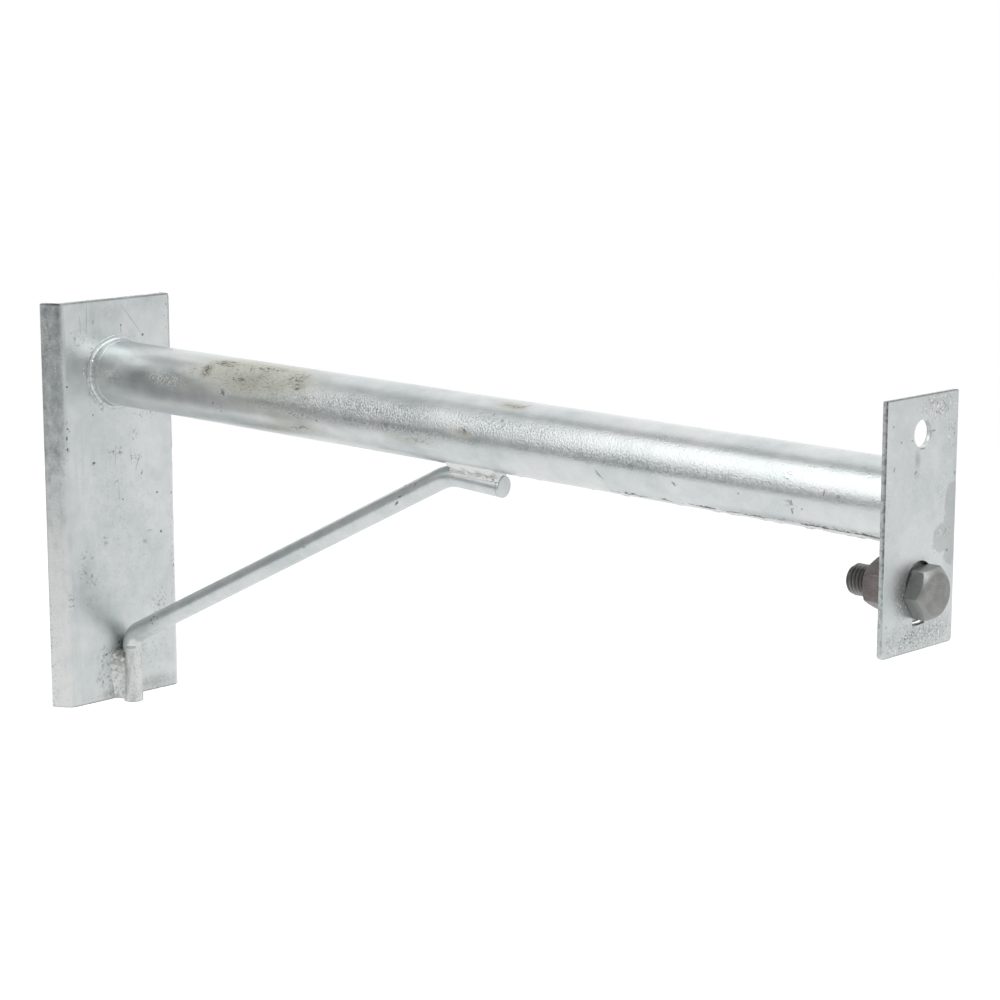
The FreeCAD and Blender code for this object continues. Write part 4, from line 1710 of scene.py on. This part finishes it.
def finish_end_plate():
    board = finish("end_plate_zinc", "end_plate")
    specks, cut, cap = map(board.painted, ("specks", "cut", "cap"))
    pits = board.flecks(1.5, 0.58) * specks
    lines = board.squiggles(3.0) * board.smooth(specks, 0.4, 1.0)
    dots = marks(board, END_MARKS, shake=0.5)
    mottle = board.cloud(3.5)
    patch = board.smooth(board.painted("patch") + (mottle - 0.5) * 1.2, 0.3, 0.75)
    soft_shade = board.painted("shade") * (0.3 + 1.4 * mottle)
    x, _, z = board.parts(board.place)
    near_front = board.smooth(x, (END_FRONT - 2.6) * mm, (END_FRONT - 0.4) * mm)
    # Painted shade on the front half of the sheared edges, in their upper part.
    rim = near_front * board.smooth(z, -0.060, -0.030) * cut
    spots = board.flecks(2.6, 0.5) * cut
    shade = soft_shade + patch * 0.23 + rim * 0.5 + spots * 0.3 + cap * 0.35 + lines * 0.15
    soot = board.greater(pits * 0.30, dots * 0.5)
    bright = board.flecks(1.4, 0.60, board.stretched((1.0, 0.8, 1.0))) * specks
    zinc_finish(board, soot, bright * 0.7, shade,
                matt=soft_shade * 1.5 + patch * 0.3 + 0.2,
                relief=bright * 0.6 - pits * 0.5 - patch * 0.5)


finish_end_plate()
print("end plate finished")


# %% [markdown]
# The brace bar is smooth drawn bar under a clean coat. Its cut ends are dull with a dark rim,
# a few rubbed spots show near its bends, and its foot is pitted and streaked like the weld
# beside it. A crescent of painted shade and a painted highlight lie on its lower bend. The weld
# beads are dull, pale and speckled, with soot and a brown burn where the foot's bead was
# started, and painted shade in the crease between the top bead's two passes.

# %% Bar and bead finishes
def on_slope(rows):
    """Marks on the sloping run: place along it, degrees above level, and the rest."""
    slope = (BAR_CORNERS[2] - BAR_CORNERS[1]).normalized()
    side = Vector((0, -1, 0))
    up = side.cross(slope).normalized()
    laid = []
    for along, rise, *rest in rows:
        normal = side * math.cos(math.radians(rise)) + up * math.sin(math.radians(rise))
        laid.append((BAR_CORNERS[1] + slope * along + normal * BAR_RADIUS, normal, *rest))
    return laid


BAR_MARKS = on_slope([
    (41.0, 30.0, 0, 1.8, 0.6), (37.5, 15.0, 60, 1.6, 0.6), (45.5, 12.0, -60, 1.6, 0.6),
    (38.0, -8.0, 0, 1.2, 0.6), (339.7, 2.0, 30, 2.0, 0.6), (334.0, -22.0, 40, 2.6, 0.8),
    (357.0, 22.0, 60, 1.6, 0.5), (345.0, 55.0, 0, 2.0, 0.6), (120.0, 70.0, 0, 1.5, 0.4),
    (230.0, -10.0, 20, 1.2, 0.4),
]) + [((FOOT_X - 0.8, BAR_Y - BAR_RADIUS, -214.8), (-0.2, -1, 0), 80, 2.6, 1.7)]
# Painted shade as a dark crescent on the bar's lower bend, and a painted highlight along its
# upper side.
CRESCENT_SHADE = [((FOOT_X + 5.0, BAR_Y - 5.3, -208.3), (0.69, -0.72, 0), 0, 4.2, 1.6)]
CRESCENT_LIGHT = [((FOOT_X + 5.0, BAR_Y - 5.3, -206.7), (0.69, -0.72, 0), 4, 4.4, 0.5)]


def finish_bar():
    board = finish("bar_zinc", "brace_rod")
    dots = marks(board, BAR_MARKS, shake=0.5)
    # Painted shade and a painted highlight on the lower bend.
    crescent_shade = marks(board, CRESCENT_SHADE)
    gleam = marks(board, CRESCENT_LIGHT)
    x, _, z = board.parts(board.place)
    foot_rim = board.smooth(z, (FOOT_END + 1.3) * mm, (FOOT_END + 0.3) * mm)
    end_rim = board.smooth(x, (BAR_END - 0.75) * mm, (BAR_END - 0.45) * mm)
    end_face = board.smooth(x, (BAR_END - 0.2) * mm, (BAR_END - 0.1) * mm)
    low = board.smooth(z, -0.20, -0.225)
    pits = board.flecks(1.7, 0.58)
    streaks = board.ripple(3.0, place=board.stretched((1.0, 1.0, 0.25)))
    grain = board.ripple(1.5, 2.0)
    shade = foot_rim * 0.45 + end_rim * (1 - end_face) * 0.6 + end_face * 0.04
    shade = shade + low * (0.14 + streaks * 2.2 + grain * 0.6) + crescent_shade * 0.45
    soot = board.greater(dots * 0.65, pits * (0.05 + 0.12 * low))
    zinc_finish(board, soot, board.greater(0.25 * low, gleam * 0.8),
                board.greater(shade, 0.0), matt=0.6 * low,
                relief=grain * low * 1.5 - pits * 0.2, dull=low * 0.15)


def finish_bead(name, node, pitted=1.0, blackened=0.0, aged=0.0, pale=0.0, spots=()):
    """A dull speckled bead; the pitting and the blackening are numbers, or rules of the
    board and place. The top bead's blackening is painted shade.
    """
    board = finish(name, node)
    _, y, z = board.parts(board.place)
    rough = pitted(board, y, z) if callable(pitted) else pitted
    blackening = blackened(board, y, z) if callable(blackened) else blackened
    drops = board.cloud(1.8, 2.0)
    pits = board.smooth(drops, 0.42, 0.34) * rough
    tops = board.smooth(drops, 0.52, 0.62) * rough
    blotches = board.smooth(board.cloud(4.5), 0.36, 0.56)
    spot = marks(board, spots, shake=0.5)
    soot = board.greater(pits * 0.32, blackening * blotches * 0.36, spot * 0.7)
    zinc_finish(board, soot, board.greater(tops * 0.5, pale), matt=0.4,
                relief=(drops - 0.5) * rough * 1.6, brown=blackening * blotches * 0.4,
                dull=aged * (0.4 + 0.5 * blotches))


def ring_pits(board, y, z):
    """The near side of the ring is rough and the rest is smooth."""
    return board.smooth(y, -0.010, -0.020) * board.smooth(z, 0.020, 0.010) * 0.55 + 0.1


def foot_burn(board, y, z):
    """Soot at the foot bead's upper end, where the arc was struck, and at its lower end."""
    upper = board.smooth(z, (FOOT_WELD_TOP - 18) * mm, (FOOT_WELD_TOP - 3) * mm)
    lower = board.smooth(z, (PLATE_LOW + 5.0) * mm, (PLATE_LOW + 1.5) * mm)
    return board.greater(upper, lower * 0.7)


def undercut(board, y, z):
    """Painted shade: the dark line in the crease between the two passes of the top bead."""
    from_line = board.math("ABSOLUTE", z - (TOP_UNDERCUT - 0.6) * mm)
    return board.smooth(from_line, 0.0012, 0.0003) * 0.35


finish_bar()
finish_bead("pole_bead_zinc", "pole_weld", pitted=ring_pits)
finish_bead("end_bead_zinc", "end_weld", pitted=0.3)
finish_bead("foot_bead_zinc", "brace_foot_weld", blackened=foot_burn, aged=0.3, pale=0.12,
            spots=[((FOOT_X - 1.0, BAR_Y - BAR_RADIUS, -214.8), (0.2, -1, 0), 80, 2.8, 1.6)])
# Its blackening is painted shade in the crease between its two passes.
finish_bead("top_bead_zinc", "brace_top_weld", pitted=0.3, blackened=undercut, pale=0.62,
            spots=[((TOP_WELD_END - 1, BAR_Y - 7.0, TOP_UNDERCUT - 2.2), (0, -1, 0), 0, 1.2, 0.8)])
print("bar and beads finished")


# %% [markdown]
# The bolt, nut and washers were not galvanised. The bolt is dark steel, a warm grey where the
# mill scale shows, with cooler flats. It is painted lighter along its chamfer's rim and on its
# thread's crests, and painted shade darkens the thread's grooves. The nut and the spring washer
# are darker and a little reddish. The plain washer is the palest of them: its colour is painted
# light where it shows, in shade, through the keyhole.

# %% Fastener finish
RUBBED_STEEL = (0.55, 0.54, 0.52, 1.0)
# The root tint is painted shade in the thread's grooves; worn paints the crests lighter.
BOLT_TINTS = (("cool", 0.5, (0.285, 0.30, 0.30, 1.0)), ("chamfer", 0.2, (0.42, 0.43, 0.41, 1.0)),
              ("root", 0.8, (0.05, 0.048, 0.046, 1.0)), ("worn", 0.5, (0.48, 0.47, 0.46, 1.0)))


def cool_rim(x, reach):
    """1 on the head's flats and chamfer and 0 on its round face, the thread and the tip."""
    return soft_step(reach, HEAD_FACE_RADIUS - 0.3, HEAD_FACE_RADIUS + 0.1)


def crest_paling(x, reach):
    """1 on the thread's crests where they stick out behind the nut."""
    return soft_step(reach, BOLT_RADIUS - 0.4, BOLT_RADIUS) if x < NUT_BACK else 0.0


def thread_groove_shade(x, reach):
    """1 in the bottom of the thread's groove, where shade is painted."""
    return 1.0 - soft_step(reach, BOLT_RADIUS - 1.3, BOLT_RADIUS - 0.3) if x < NUT_BACK else 0.0


def head_chamfer(x, reach):
    """1 on the head's chamfer along its rim, which is painted lighter."""
    on_rim = soft_step(reach, HEAD_FACE_RADIUS - 0.1, HEAD_FACE_RADIUS + 0.2)
    below = HEAD_TOP - max(0.0, reach - HEAD_FACE_RADIUS) * HEAD_SLOPE - x
    return on_rim * (1 - soft_step(below, 0.1, 0.3))


def about_bolt(rule):
    """Lets a rule of x and the distance from the bolt's axis be painted."""
    return lambda x, y, z: rule(x, math.hypot(y - BOLT_AXIS.y, z - BOLT_AXIS.z))


paint("clamp_bolt", cool=about_bolt(cool_rim), worn=about_bolt(crest_paling),
      root=about_bolt(thread_groove_shade), chamfer=about_bolt(head_chamfer))


def dark_steel(name, deep, pale, *nodes, tints=()):
    """Steel between two colours; a tint has a painted name, a strength and a colour."""
    board = finish(name, *nodes)
    patches = board.cloud(7)
    grain = board.cloud(0.9, 2.0)
    colour = board.blend(board.smooth(patches * 0.6 + grain * 0.4, 0.36, 0.64), deep, pale)
    colour = board.blend(board.flecks(1.6, 0.66) * 0.25, colour, RUBBED_STEEL)
    for painted_name, strength, tint in tints:
        colour = board.blend(board.painted(painted_name) * strength, colour, tint)
    bump = board.node("Bump", None, {"Strength": 0.3, "Distance": 0.0002, "Height": grain})
    board.surface("BsdfPrincipled", {"Base Color": colour, "Roughness": 0.38 + 0.14 * patches,
                                     "Metallic": 0.85, "Normal": bump})


dark_steel("bolt_steel", (0.225, 0.224, 0.218, 1.0), (0.315, 0.312, 0.304, 1.0), "clamp_bolt",
           tints=BOLT_TINTS)
dark_steel("nut_steel", (0.17, 0.15, 0.146, 1.0), (0.245, 0.218, 0.213, 1.0),
           "clamp_nut", "clamp_spring_washer")
# The plain washer's pale colour is painted light where it shows, in shade, through the keyhole.
dark_steel("washer_painted_light", (0.45, 0.44, 0.44, 1.0), (0.85, 0.84, 0.84, 1.0), "clamp_washer")
print("fasteners finished")


# %% [markdown]
# The dressed arm is built to keep to the solids' size; both boxes are printed side by side.

# %% Print the sizes of both boxes
dressed_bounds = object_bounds()
sizes = {"solids": [list(corner) for corner in solid_bounds],
         "dressed": [list(corner) for corner in dressed_bounds]}
for name, corners in sizes.items():
    print(name, [[round(value * 1000, 2) for value in corner] for corner in corners])
